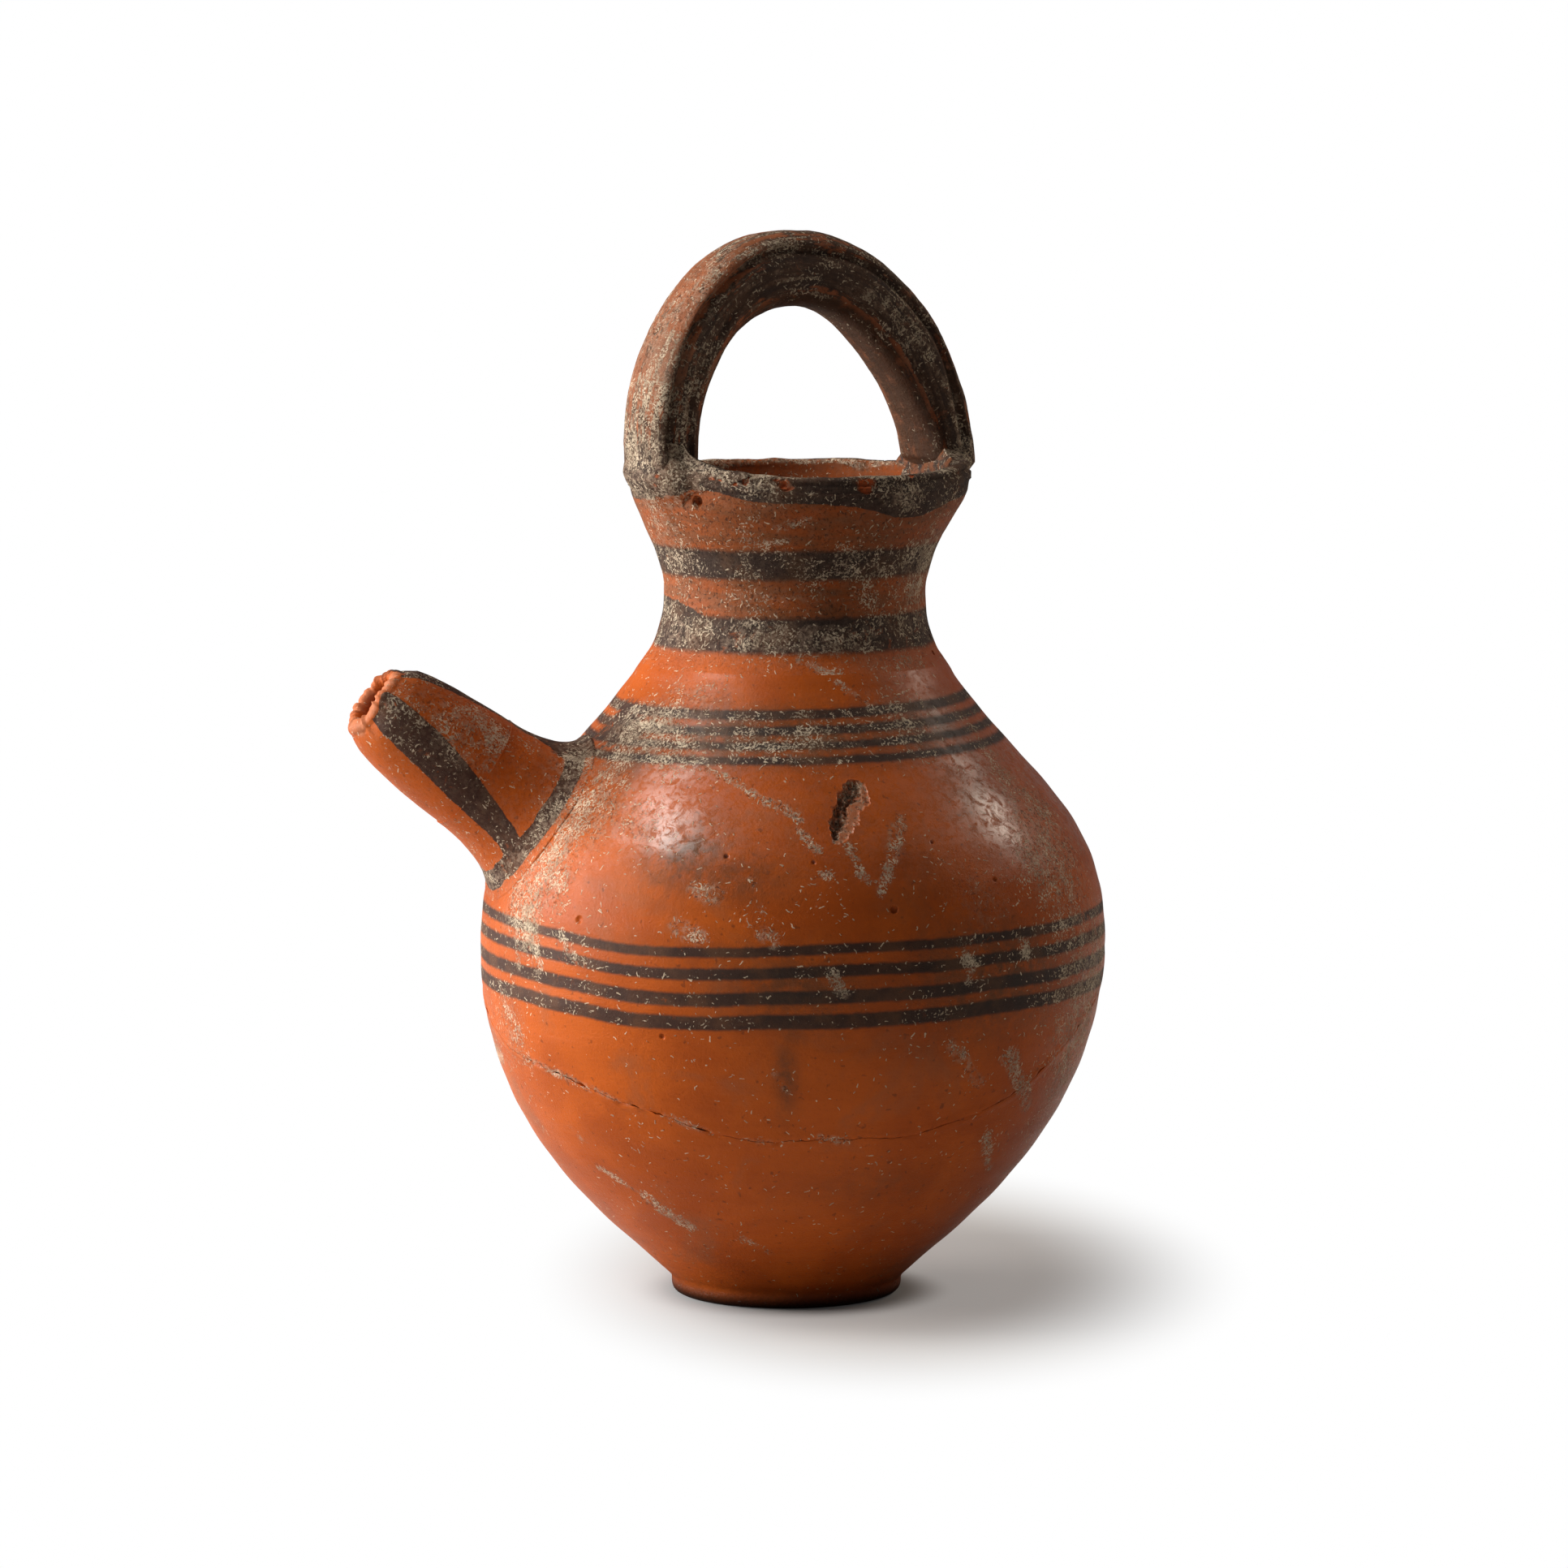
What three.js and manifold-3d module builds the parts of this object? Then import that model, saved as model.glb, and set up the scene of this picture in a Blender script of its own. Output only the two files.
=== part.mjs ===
// A terracotta jug: a round body on a small flat foot, a flared neck, a slanting side spout and a tall
// basket handle that stands astride the rim. Every part was thrown or rolled by itself and luted on with
// wet clay before the firing. The body broke round its belly and was mended, so it is two sherds.
// All lengths are in millimetres. The jug stands on z = 0 with its axis on z, and the spout points to -x.
import * as THREE from "three";
import { mergeVertices } from "three/addons/utils/BufferGeometryUtils.js";
import Module from "manifold-3d";

const { degToRad } = THREE.MathUtils;

// Clearance between pieces that touch, and how far a cutting solid runs past what it cuts.
const joint = 0.3;
const overrun = 4;
// Corners closer than this are one corner.
const sameCorner = 0.0005;

// Body
const footRadius = 21;
const footEdgeRadius = 24;
const footEdgeHeight = 3.5;
const bellyRadius = 64.8;
const bellyHeight = 74;
const shoulderRadius = 31.5;
const shoulderHeight = 131.5;
const bodyWall = 5;
const floorThickness = 7;
const floorRadius = 19;
const seatWall = 4.6;
const seatDrop = 2.6;

// Neck and rim
const waistRadius = 26.8;
const waistHeight = 14;
const waistWall = 4.4;
const neckHeight = 40.1;
const lipRadius = 34.7;
const lipThickness = 3.8;
const lipBand = 3.6;
const lipStep = 1.3;
const lipGroove = 0.8;

// Basket handle
const handleRise = 40.9;
const handleYaw = degToRad(18);
const handleWidth = 16;
const limbThickness = 12;
const crownThickness = 15;
const crownLean = 3;
const handleOffset = 1.5;
const handleCorner = 4.5;
const creaseDepth = 0.8;
const creaseWidth = 1.6;
const creaseFromBack = 3.4;
const footDrop = 12;
const footWidth = 17;
const footLeg = 1.2;

// Clay pressed round each foot of the handle
const collarSwell = 0.9;
const collarSpread = 4;
const collarTall = 11.5;
const collarDrop = 5;
const collarLean = degToRad(15);

// Spout
const spoutRiseShare = 0.49;
const spoutElevation = degToRad(36);
const spoutLength = 41.2;
const spoutRadius = 12.8;
const spoutTipRadius = 8.7;
const spoutTipRound = 2;
const spoutTipBore = 4.8;
const spoutBore = 8;
const spigotRadius = 11;

// Clay pressed round the root of the spout
const filletRadius = 19.5;
const filletHeight = 13;
const filletEdge = 1;
const filletFeather = 0.5;

// Break round the belly
const breakHeight = 66.7;
const breakDrop = 26.2;
const breakSide = 4.7;
const breakTwist = 5;
const breakJag = 0.7;
const breakLowAzimuth = degToRad(-104);
const jagWaves = [7, 12];
const jagShares = [1, 0.6];

// Handles of the curved outlines, as shares of the height that each curve climbs.
const flankStartShare = 0.122;
const flankStartSlope = 0.89;
const flankEndShare = 0.595;
const shoulderStartShare = 0.485;
const shoulderEndShare = 0.424;
const shoulderEndSlope = 0.68;
const neckRootShare = 0.25;
const neckRootSlope = 0.8;
const neckWaistShare = 0.4;
const flareStartShare = 0.36;
const flareEndShare = 0.32;
const flareEndSlope = 0.36;
const spoutStraightShare = 0.2;
const spoutSwellShares = [0.35, 0.23];
const spoutTaperShare = 0.6;
const filletCurveShares = [0.15, 0.42];
const footWideShare = 0.35;
const archPinchShare = 0.12;

// Facets
const roundFacets = 56;
const spoutFacets = 32;
const bodyFacets = 7;
const neckFacets = 5;
const spoutCurveFacets = 5;
const cornerFacets = 3;
const archFacets = 28;
const legFacets = 4;
const breakFacets = 84;
const collarFacets = [20, 12];

const wasm = await Module();
wasm.setup();

// The solid inside a closed three.js geometry.
function solidOf(geometry) {
  const bare = geometry.clone();
  bare.deleteAttribute("normal");
  bare.deleteAttribute("uv");
  const merged = mergeVertices(bare, sameCorner);
  const corners = merged.index.array;
  const triVerts = [];
  for (let i = 0; i < corners.length; i += 3) {
    const [a, b, c] = corners.slice(i, i + 3);
    if (a !== b && b !== c && c !== a) triVerts.push(a, b, c);
  }
  const mesh = new wasm.Mesh({
    numProp: 3,
    vertProperties: merged.attributes.position.array,
    triVerts: new Uint32Array(triVerts),
  });
  return new wasm.Manifold(mesh);
}

// A solid turned about the z axis from an outline of radius and height, which runs up the outside first.
function turned(outline, facets) {
  return solidOf(new THREE.LatheGeometry(outline, facets).rotateX(Math.PI / 2));
}

// The outline set out by a distance along its own normal. A point on the axis stays there.
function setOut(outline, distance) {
  const closed = outline[0].distanceTo(outline.at(-1)) < sameCorner;
  const ring = closed ? outline.slice(1) : outline;
  const normal = (from, to) => new THREE.Vector2(to.y - from.y, from.x - to.x).normalize();
  const moved = ring.map((point, i) => {
    const before = ring[i - 1] ?? (closed ? ring.at(-1) : point);
    const after = ring[i + 1] ?? (closed ? ring[0] : point);
    const first = before === point ? normal(point, after) : normal(before, point);
    const second = after === point ? first : normal(point, after);
    const way = first.clone().add(second).divideScalar(1 + first.dot(second));
    return way.multiplyScalar(distance).add(point);
  });
  if (closed) return [moved.at(-1), ...moved];
  moved[0].x = 0;
  moved.at(-1).x = 0;
  return moved;
}

// The radius of an outline at a height, where the outline climbs.
function radiusAt(outline, height) {
  const next = outline.findIndex((point, i) => i > 0 && point.y >= height && outline[i - 1].y < height);
  const from = outline[next - 1];
  const to = outline[next];
  return THREE.MathUtils.mapLinear(height, from.y, to.y, from.x, to.x);
}

// The outside of the body, from the middle of the foot to the seat of the neck.
const flank = bellyHeight - footEdgeHeight;
const shoulder = shoulderHeight - bellyHeight;
const bodyOutside = new THREE.Path()
  .moveTo(0, 0)
  .lineTo(footRadius, 0)
  .quadraticCurveTo(footEdgeRadius, 0, footEdgeRadius, footEdgeHeight)
  .bezierCurveTo(
    footEdgeRadius + flank * flankStartShare * flankStartSlope,
    footEdgeHeight + flank * flankStartShare,
    bellyRadius,
    bellyHeight - flank * flankEndShare,
    bellyRadius,
    bellyHeight,
  )
  .bezierCurveTo(
    bellyRadius,
    bellyHeight + shoulder * shoulderStartShare,
    shoulderRadius + shoulder * shoulderEndShare * shoulderEndSlope,
    shoulderHeight - shoulder * shoulderEndShare,
    shoulderRadius,
    shoulderHeight,
  )
  .getPoints(bodyFacets);

// The inside of the body, from the middle of the floor to the seat, with a wall of even thickness.
const seatInside = new THREE.Vector2(shoulderRadius - seatWall, shoulderHeight - seatDrop);
const hollowFlank = bellyHeight - floorThickness;
const hollowShoulder = seatInside.y - bellyHeight;
const bodyInside = new THREE.Path()
  .moveTo(0, floorThickness)
  .lineTo(floorRadius, floorThickness)
  .bezierCurveTo(
    floorRadius + hollowFlank * flankStartShare * flankStartSlope,
    floorThickness + hollowFlank * flankStartShare,
    bellyRadius - bodyWall,
    bellyHeight - hollowFlank * flankEndShare,
    bellyRadius - bodyWall,
    bellyHeight,
  )
  .bezierCurveTo(
    bellyRadius - bodyWall,
    bellyHeight + hollowShoulder * shoulderStartShare,
    seatInside.x + hollowShoulder * shoulderEndShare * shoulderEndSlope,
    seatInside.y - hollowShoulder * shoulderEndShare,
    seatInside.x,
    seatInside.y,
  )
  .getPoints(bodyFacets);

const body = turned([...bodyOutside, ...bodyInside.toReversed()], roundFacets);
const axisPoint = (height) => new THREE.Vector2(0, height);
const bodyBlock = turned(setOut([...bodyOutside, axisPoint(shoulderHeight)], joint), roundFacets);
const bodyHollow = turned([...bodyInside, axisPoint(seatInside.y)], roundFacets);

// The height at which the break meets the outside of the wall, all the way round.
function breakAt(azimuth) {
  const turn = azimuth - breakLowAzimuth;
  const jags = jagWaves.map((waves, i) => jagShares[i] * Math.sin(waves * turn));
  const jag = breakJag * jags.reduce((sum, value) => sum + value, 0);
  const sway = breakSide * Math.sin(turn) - breakTwist * Math.sin(2 * turn);
  return breakHeight - breakDrop * Math.cos(turn) + sway + jag;
}

// Everything below the break: a drum whose top fans out from the axis, so that it cuts square to the wall.
function belowBreak() {
  const reach = bellyRadius + overrun;
  const drum = new THREE.CylinderGeometry(reach, reach, 2 * overrun, breakFacets).rotateX(Math.PI / 2);
  const places = drum.attributes.position;
  for (let i = 0; i < places.count; i += 1) {
    const onRing = Math.hypot(places.getX(i), places.getY(i)) > overrun;
    const height = onRing ? breakAt(Math.atan2(places.getY(i), places.getX(i))) : breakHeight;
    const onWall = (height - breakHeight) * (reach / radiusAt(bodyOutside, height));
    if (places.getZ(i) > 0) places.setZ(i, breakHeight + onWall);
  }
  return solidOf(drum);
}
const lower = belowBreak();
const breakGap = joint * Math.hypot(1, (2 * breakDrop) / bellyRadius);

// The neck: a ring that sits on the sloping seat, narrows to its waist and flares to a banded lip.
const seatGap = joint * Math.hypot(1, seatDrop / seatWall);
const neckFoot = shoulderHeight + seatGap;
const waist = neckFoot + waistHeight;
const lipTop = neckFoot + neckHeight;
const lipUnder = lipTop - lipBand - lipGroove;
const flare = lipUnder - waist;
const lipMiddle = lipRadius - lipThickness / 2;
const lipInner = lipRadius - lipThickness;
const neckWall = new THREE.Path()
  .moveTo(shoulderRadius, neckFoot)
  .bezierCurveTo(
    shoulderRadius - waistHeight * neckRootShare * neckRootSlope,
    neckFoot + waistHeight * neckRootShare,
    waistRadius,
    waist - waistHeight * neckWaistShare,
    waistRadius,
    waist,
  )
  .bezierCurveTo(
    waistRadius,
    waist + flare * flareStartShare,
    lipRadius - lipStep - flare * flareEndShare * flareEndSlope,
    lipUnder - flare * flareEndShare,
    lipRadius - lipStep,
    lipUnder,
  )
  .lineTo(lipRadius, lipUnder + lipGroove)
  .lineTo(lipRadius, lipTop - lipThickness / 2)
  .quadraticCurveTo(lipRadius, lipTop, lipMiddle, lipTop)
  .quadraticCurveTo(lipInner, lipTop, lipInner, lipTop - lipThickness / 2)
  .bezierCurveTo(
    lipInner - flare * flareEndShare * flareEndSlope,
    lipTop - lipThickness / 2 - flare * flareEndShare,
    waistRadius - waistWall,
    waist + flare * flareStartShare,
    waistRadius - waistWall,
    waist,
  )
  .bezierCurveTo(
    waistRadius - waistWall,
    waist - waistHeight * neckWaistShare,
    seatInside.x - waistHeight * neckRootShare * neckRootSlope,
    seatInside.y + seatGap + waistHeight * neckRootShare,
    seatInside.x,
    seatInside.y + seatGap,
  )
  .lineTo(shoulderRadius, neckFoot)
  .getPoints(neckFacets);
const neck = turned(neckWall, roundFacets);
const neckCutter = turned(setOut(neckWall, joint), roundFacets);

// The middle of the neck's wall at a height, which the legs of the handle follow.
function wallMiddleAt(height) {
  const outer = radiusAt(neckWall, height);
  const rise = THREE.MathUtils.clamp((height - waist) / (lipTop - waist), 0, 1);
  return outer - THREE.MathUtils.lerp(waistWall, lipThickness, rise) / 2;
}

// The section of the handle's strap: x runs out from the mouth and y across the strap. The back and the
// belly of the strap have round corners, and a crease runs along each side below the back.
function strapSection(grow) {
  const back = limbThickness / 2 + grow;
  const side = handleWidth / 2 + grow;
  const round = handleCorner + grow;
  const crease = back - grow - creaseFromBack;
  const depth = grow > 0 ? 0 : creaseDepth;
  const shape = new THREE.Shape();
  shape.moveTo(back, side - round);
  shape.quadraticCurveTo(back, side, crease + creaseWidth / 2, side);
  shape.lineTo(crease, side - depth);
  shape.lineTo(crease - creaseWidth / 2, side);
  shape.lineTo(round - back, side);
  shape.quadraticCurveTo(-back, side, -back, side - round);
  shape.lineTo(-back, round - side);
  shape.quadraticCurveTo(-back, -side, round - back, -side);
  shape.lineTo(crease - creaseWidth / 2, -side);
  shape.lineTo(crease, depth - side);
  shape.lineTo(crease + creaseWidth / 2, -side);
  shape.quadraticCurveTo(back, -side, back, round - side);
  shape.closePath();
  return shape;
}

// The stations of the strap down one leg, on the side of x that is given: the middle of the strap in the
// handle's own plane, the way out from the mouth, and how thick and how wide the strap is there. The foot
// goes down as much further as the strap is grown.
function legStations(side, grow) {
  return Array.from({ length: legFacets }, (_, i) => {
    const share = i / legFacets;
    const height = lipTop - (footDrop + grow) * (1 - share);
    const reach = THREE.MathUtils.lerp(side * wallMiddleAt(height), side * lipMiddle + handleOffset, share);
    const thickness = THREE.MathUtils.lerp(waistWall + 2 * footLeg, limbThickness, Math.sqrt(share));
    const way = new THREE.Vector2(side, 0);
    return { middle: new THREE.Vector2(reach, height), way, thickness, width: footWidth };
  });
}

// The stations over the mouth, on half an ellipse that is pinched in below the crown and leans a little.
function archStations() {
  return Array.from({ length: archFacets + 1 }, (_, i) => {
    const angle = (Math.PI * i) / archFacets;
    const lift = Math.sin(angle);
    const side = Math.cos(angle);
    const pinch = 1 - archPinchShare * lift * lift;
    const reach = lipMiddle * side * pinch + handleOffset - crownLean * lift;
    const middle = new THREE.Vector2(reach, lipTop + handleRise * lift);
    const closing = lipMiddle * lift * (pinch + 2 * archPinchShare * side * side) + crownLean * side;
    const way = new THREE.Vector2(handleRise * side, closing).normalize();
    const thickness = THREE.MathUtils.lerp(limbThickness, crownThickness, lift);
    const width = THREE.MathUtils.lerp(footWidth, handleWidth, Math.min(1, lift / footWideShare));
    return { middle, way, thickness, width };
  });
}

// A straight strap bent along the stations, in the plane of x and z.
function bentStrap(grow) {
  const stations = [...legStations(1, grow), ...archStations(), ...legStations(-1, grow).toReversed()];
  const steps = stations.length - 1;
  const strap = new THREE.ExtrudeGeometry(strapSection(grow), {
    depth: steps,
    steps,
    curveSegments: cornerFacets,
    bevelEnabled: false,
  });
  const places = strap.attributes.position;
  for (let i = 0; i < places.count; i += 1) {
    const { middle, way, thickness, width } = stations[Math.round(places.getZ(i))];
    const out = (places.getX(i) * (thickness + 2 * grow)) / (limbThickness + 2 * grow);
    const across = (places.getY(i) * (width + 2 * grow)) / (handleWidth + 2 * grow);
    places.setXYZ(i, middle.x + way.x * out, across, middle.y + way.y * out);
  }
  return solidOf(strap);
}
const strap = bentStrap(0).subtract(neckCutter);

// The inside of the mouth below the lip, where the luting clay was wiped away.
const wiped = solidOf(
  new THREE.CylinderGeometry(lipMiddle, lipMiddle, 2 * neckHeight, roundFacets).rotateX(Math.PI / 2),
).translate(0, 0, lipTop - neckHeight);

// The smear of clay round one foot of the handle, on the side of x that is given. It climbs over the lip
// beside the strap.
function collar(side) {
  const smear = new THREE.SphereGeometry(1, ...collarFacets)
    .rotateX(Math.PI / 2)
    .scale(limbThickness / 2 + collarSwell, footWidth / 2 + collarSpread, collarTall)
    .rotateY(side * collarLean)
    .translate(side * lipMiddle + handleOffset, 0, lipTop - collarDrop);
  return solidOf(smear).subtract(neckCutter).subtract(wiped).subtract(bentStrap(joint));
}

// The spout in its own frame: z runs out along its bore from the outside of the body.
const spoutHeight = bellyHeight + shoulder * spoutRiseShare;
const spoutPlace = new THREE.Group();
spoutPlace.position.set(-radiusAt(bodyOutside, spoutHeight), 0, spoutHeight);
spoutPlace.rotation.y = spoutElevation - Math.PI / 2;
spoutPlace.updateMatrix();
const spoutMatrix = spoutPlace.matrix;
const bodyFromSpout = bodyBlock.transform(spoutMatrix.clone().invert().elements);
const hollowFromSpout = bodyHollow.transform(spoutMatrix.clone().invert().elements);
const spoutRoot = -bodyWall - filletRadius / 2;

// The outside of the spout, from its root inside the wall to its round tip, set out by a distance.
function spoutOutside(grow) {
  const swell = spoutLength * spoutStraightShare;
  const tipStart = spoutLength - spoutTipRound;
  const tipFlat = spoutTipRadius - spoutTipRound;
  const outline = new THREE.Path()
    .moveTo(0, spoutRoot)
    .lineTo(spoutRadius, spoutRoot)
    .lineTo(spoutRadius, swell)
    .bezierCurveTo(
      spoutRadius,
      swell + spoutLength * spoutSwellShares[0],
      THREE.MathUtils.lerp(spoutTipRadius, spoutRadius, spoutTaperShare),
      tipStart - spoutLength * spoutSwellShares[1] * (1 - spoutTaperShare),
      spoutTipRadius,
      tipStart,
    )
    .quadraticCurveTo(spoutTipRadius - spoutTipRound / 2, spoutLength, tipFlat, spoutLength)
    .lineTo(0, spoutLength)
    .getPoints(spoutCurveFacets);
  return turned(grow > 0 ? setOut(outline, grow) : outline, spoutFacets);
}

// The bore narrows from the wall of the body to the tip, and opens again a little at its worn edge.
const bore = turned(
  [
    axisPoint(spoutRoot - overrun),
    new THREE.Vector2(spoutBore, spoutRoot - overrun),
    new THREE.Vector2(spoutBore, spoutLength * spoutStraightShare),
    new THREE.Vector2(spoutTipBore, spoutLength - spoutTipRound),
    new THREE.Vector2(spoutTipBore + spoutTipRound / 2, spoutLength),
    new THREE.Vector2(spoutTipBore + spoutTipRound / 2, spoutLength + overrun),
    axisPoint(spoutLength + overrun),
  ],
  spoutFacets,
);

// The end of the spout is pared down to a spigot that fills the hole in the wall, flush with its inside.
function spigot(radius) {
  const plug = new THREE.CylinderGeometry(radius, radius, 2 * -spoutRoot, spoutFacets);
  return solidOf(plug.rotateX(Math.PI / 2));
}
const spout = spoutOutside(0)
  .subtract(bodyFromSpout)
  .add(spigot(spigotRadius).subtract(hollowFromSpout))
  .subtract(bore);
const spoutHole = spigot(spigotRadius + joint).transform(spoutMatrix.elements);

// The collar of clay that fills the corner between the spout and the body, hollow like a trumpet's bell.
const filletLow = filletEdge - (filletRadius * filletRadius) / (2 * bellyRadius);
const spoutFillet = turned(
  new THREE.Path()
    .moveTo(0, spoutRoot)
    .lineTo(filletRadius, spoutRoot)
    .lineTo(filletRadius, filletLow)
    .bezierCurveTo(
      THREE.MathUtils.lerp(filletRadius, spoutRadius, filletCurveShares[1]),
      filletLow + filletHeight * filletCurveShares[0],
      spoutRadius + joint + filletFeather,
      filletHeight * filletCurveShares[1],
      spoutRadius + joint + filletFeather,
      filletHeight,
    )
    .lineTo(0, filletHeight)
    .getPoints(spoutCurveFacets),
  spoutFacets,
)
  .subtract(spoutOutside(joint))
  .subtract(bodyFromSpout);

// A fired clay finish of its own for each piece.
function clay(color, roughness) {
  return new THREE.MeshStandardMaterial({ color, roughness, metalness: 0 });
}

// A named mesh of a solid.
function piece(name, solid, material) {
  const { numProp, vertProperties, triVerts } = solid.getMesh();
  const geometry = new THREE.BufferGeometry();
  const corners = new THREE.InterleavedBuffer(vertProperties, numProp);
  geometry.setAttribute("position", new THREE.InterleavedBufferAttribute(corners, 3, 0));
  geometry.setIndex(new THREE.BufferAttribute(triVerts, 1));
  const mesh = new THREE.Mesh(geometry.toNonIndexed(), material);
  mesh.geometry.computeVertexNormals();
  mesh.name = name;
  return mesh;
}

const jug = new THREE.Group();
jug.add(piece("lower_body_sherd", body.intersect(lower), clay(0xb9602f, 0.5)));
const upperBody = body.subtract(lower.translate(0, 0, breakGap)).subtract(spoutHole);
jug.add(piece("upper_body_sherd", upperBody, clay(0xc2642d, 0.45)));
jug.add(piece("neck_and_rim", neck, clay(0xa8562c, 0.55)));

const basket = new THREE.Group();
basket.rotation.z = handleYaw;
basket.add(piece("basket_handle", strap, clay(0x5b4a40, 0.7)));
basket.add(piece("handle_luting_spout_side", collar(-1), clay(0x4d4039, 0.7)));
basket.add(piece("handle_luting_far_side", collar(1), clay(0x4d4039, 0.7)));
jug.add(basket);

spoutPlace.add(piece("spout", spout, clay(0xa2522a, 0.5)));
spoutPlace.add(piece("spout_luting_fillet", spoutFillet, clay(0x4f443c, 0.6)));
jug.add(spoutPlace);

export default jug;
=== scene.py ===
import math

import bmesh
import bpy
import numpy as np
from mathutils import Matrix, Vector


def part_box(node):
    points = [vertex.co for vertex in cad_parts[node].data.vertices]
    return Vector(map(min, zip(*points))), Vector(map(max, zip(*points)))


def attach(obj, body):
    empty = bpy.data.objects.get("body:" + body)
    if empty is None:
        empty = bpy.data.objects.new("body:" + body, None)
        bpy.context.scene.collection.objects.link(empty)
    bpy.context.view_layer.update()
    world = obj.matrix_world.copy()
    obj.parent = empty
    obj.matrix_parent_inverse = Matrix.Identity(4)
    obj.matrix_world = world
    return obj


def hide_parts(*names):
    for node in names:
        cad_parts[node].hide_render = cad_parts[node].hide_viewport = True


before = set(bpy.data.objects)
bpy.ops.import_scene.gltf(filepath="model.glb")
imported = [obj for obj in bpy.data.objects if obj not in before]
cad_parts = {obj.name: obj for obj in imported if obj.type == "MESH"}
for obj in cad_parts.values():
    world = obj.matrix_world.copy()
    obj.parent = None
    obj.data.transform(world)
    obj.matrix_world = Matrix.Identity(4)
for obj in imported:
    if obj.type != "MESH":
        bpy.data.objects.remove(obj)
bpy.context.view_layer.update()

mm = 0.001


# Lower part of the body. Red clay thrown on the wheel to a round belly on a small flat foot, cut off the
# wheel with a string, slipped orange and burnished. The body cracked round its belly long after the firing
# and was mended, and this is everything below the crack.
belly_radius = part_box("lower_body_sherd")[1].x / mm
shoulder_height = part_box("upper_body_sherd")[1].z / mm
foot_radius = 21
foot_edge = (24, 3.5)
belly_height = 74
shoulder_radius = 31.5
body_wall = 5
floor_height = 7
floor_radius = 19
seat_wall = 4.6
seat_drop = 2.6
# How the curves of flank and shoulder bend, as shares of their height.
flank_start = (0.122, 0.89)
flank_end = 0.595
shoulder_start = 0.485
shoulder_end = (0.424, 0.68)
# How finely the wall is made.
wall_columns = 440
outside_rows = 160
inside_rows = 38


def limited(value):
    """A value kept between 0 and 1."""
    return np.clip(value, 0, 1)


def hump(value, power=2):
    """1 where the value is 0, falling smoothly to almost nothing past 2 on both sides."""
    return np.exp(-(value ** power))


def curved(t, start, first, second, end):
    return (1 - t) ** 3 * start + 3 * (1 - t) ** 2 * t * first + 3 * (1 - t) * t * t * second + t ** 3 * end


def bezier(start, first, second, end, steps=60):
    corners = (np.array(corner, float) for corner in (start, first, second, end))
    return curved(np.linspace(0, 1, steps + 1)[:, None], *corners)


def joined(*stretches):
    """One outline of several stretches, with the corner between two stretches taken once."""
    points = np.vstack([np.atleast_2d(stretch) for stretch in stretches])
    moved = np.hypot(*np.diff(points, axis=0).T) > 1e-6
    return points[np.concatenate([[True], moved])]


def lengths(outline):
    """How far along the outline each of its points lies."""
    return np.concatenate([[0], np.cumsum(np.hypot(*np.diff(outline, axis=0).T))])


def point_at(outline, along):
    """Radius and height at a length along the outline."""
    way = lengths(outline)
    return np.stack([np.interp(along, way, outline[:, 0]), np.interp(along, way, outline[:, 1])], axis=-1)


def length_at(outline, height):
    """The length along a climbing outline at which it reaches a height."""
    return np.interp(height, outline[:, 1], lengths(outline))


def belly_curve(radius, low, seat):
    """The flank and the shoulder of the body, from its low point out to the belly and in to its seat."""
    flank = belly_height - low[1]
    shoulder = seat[1] - belly_height
    return joined(
        bezier(
            low,
            (low[0] + flank * flank_start[0] * flank_start[1], low[1] + flank * flank_start[0]),
            (radius, belly_height - flank * flank_end),
            (radius, belly_height),
        ),
        bezier(
            (radius, belly_height),
            (radius, belly_height + shoulder * shoulder_start),
            (seat[0] + shoulder * shoulder_end[0] * shoulder_end[1], seat[1] - shoulder * shoulder_end[0]),
            seat,
        ),
    )


foot_curve = bezier((foot_radius, 0), (foot_edge[0], 0), (foot_edge[0], foot_edge[1] / 2), foot_edge, 12)
climb = belly_curve(belly_radius, foot_edge, (shoulder_radius, shoulder_height))
body_outside = joined((0, 0), foot_curve, climb)
body_seat = (shoulder_radius - seat_wall, shoulder_height - seat_drop)
body_inside = joined(
    (0, floor_height), belly_curve(belly_radius - body_wall, (floor_radius, floor_height), body_seat)
)

# The break: its middle height, how far it dips in front and leans to one side, and its fine jags.
break_height = 66.7
break_drop = 26.2
break_side = 4.7
break_twist = 5
break_low_azimuth = math.radians(-104)
break_jags = ((0.7, 7), (0.42, 12))
break_gap = 0.1
chance = np.random.default_rng(11)


def ragged(angle, beats, seed):
    """A line of hand-made unevenness round the jug, between -1 and 1, with so many beats in a turn."""
    values = np.random.default_rng(seed).uniform(-1, 1, beats)
    place = np.mod(angle / math.tau, 1) * beats
    low = np.floor(place).astype(int)
    share = place - low
    share = share * share * (3 - 2 * share)
    return values[low % beats] * (1 - share) + values[(low + 1) % beats] * share


def break_at(azimuth):
    turn = azimuth - break_low_azimuth
    course = break_height - break_drop * np.cos(turn) + break_side * np.sin(turn)
    course -= break_twist * np.sin(2 * turn)
    for size, waves in break_jags:
        course = course + size * np.sin(waves * turn)
    return course + 0.3 * ragged(azimuth, 90, 3) + 0.16 * ragged(azimuth, 330, 4)


azimuths = np.arange(wall_columns) * math.tau / wall_columns


def swept(profile, angles):
    """Points on the wheel: one row for each place on the profile, one column for each azimuth."""
    radius, height, angles = np.broadcast_arrays(profile[..., 0], profile[..., 1], angles)
    return np.stack([radius * np.cos(angles), radius * np.sin(angles), height], axis=-1)


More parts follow.
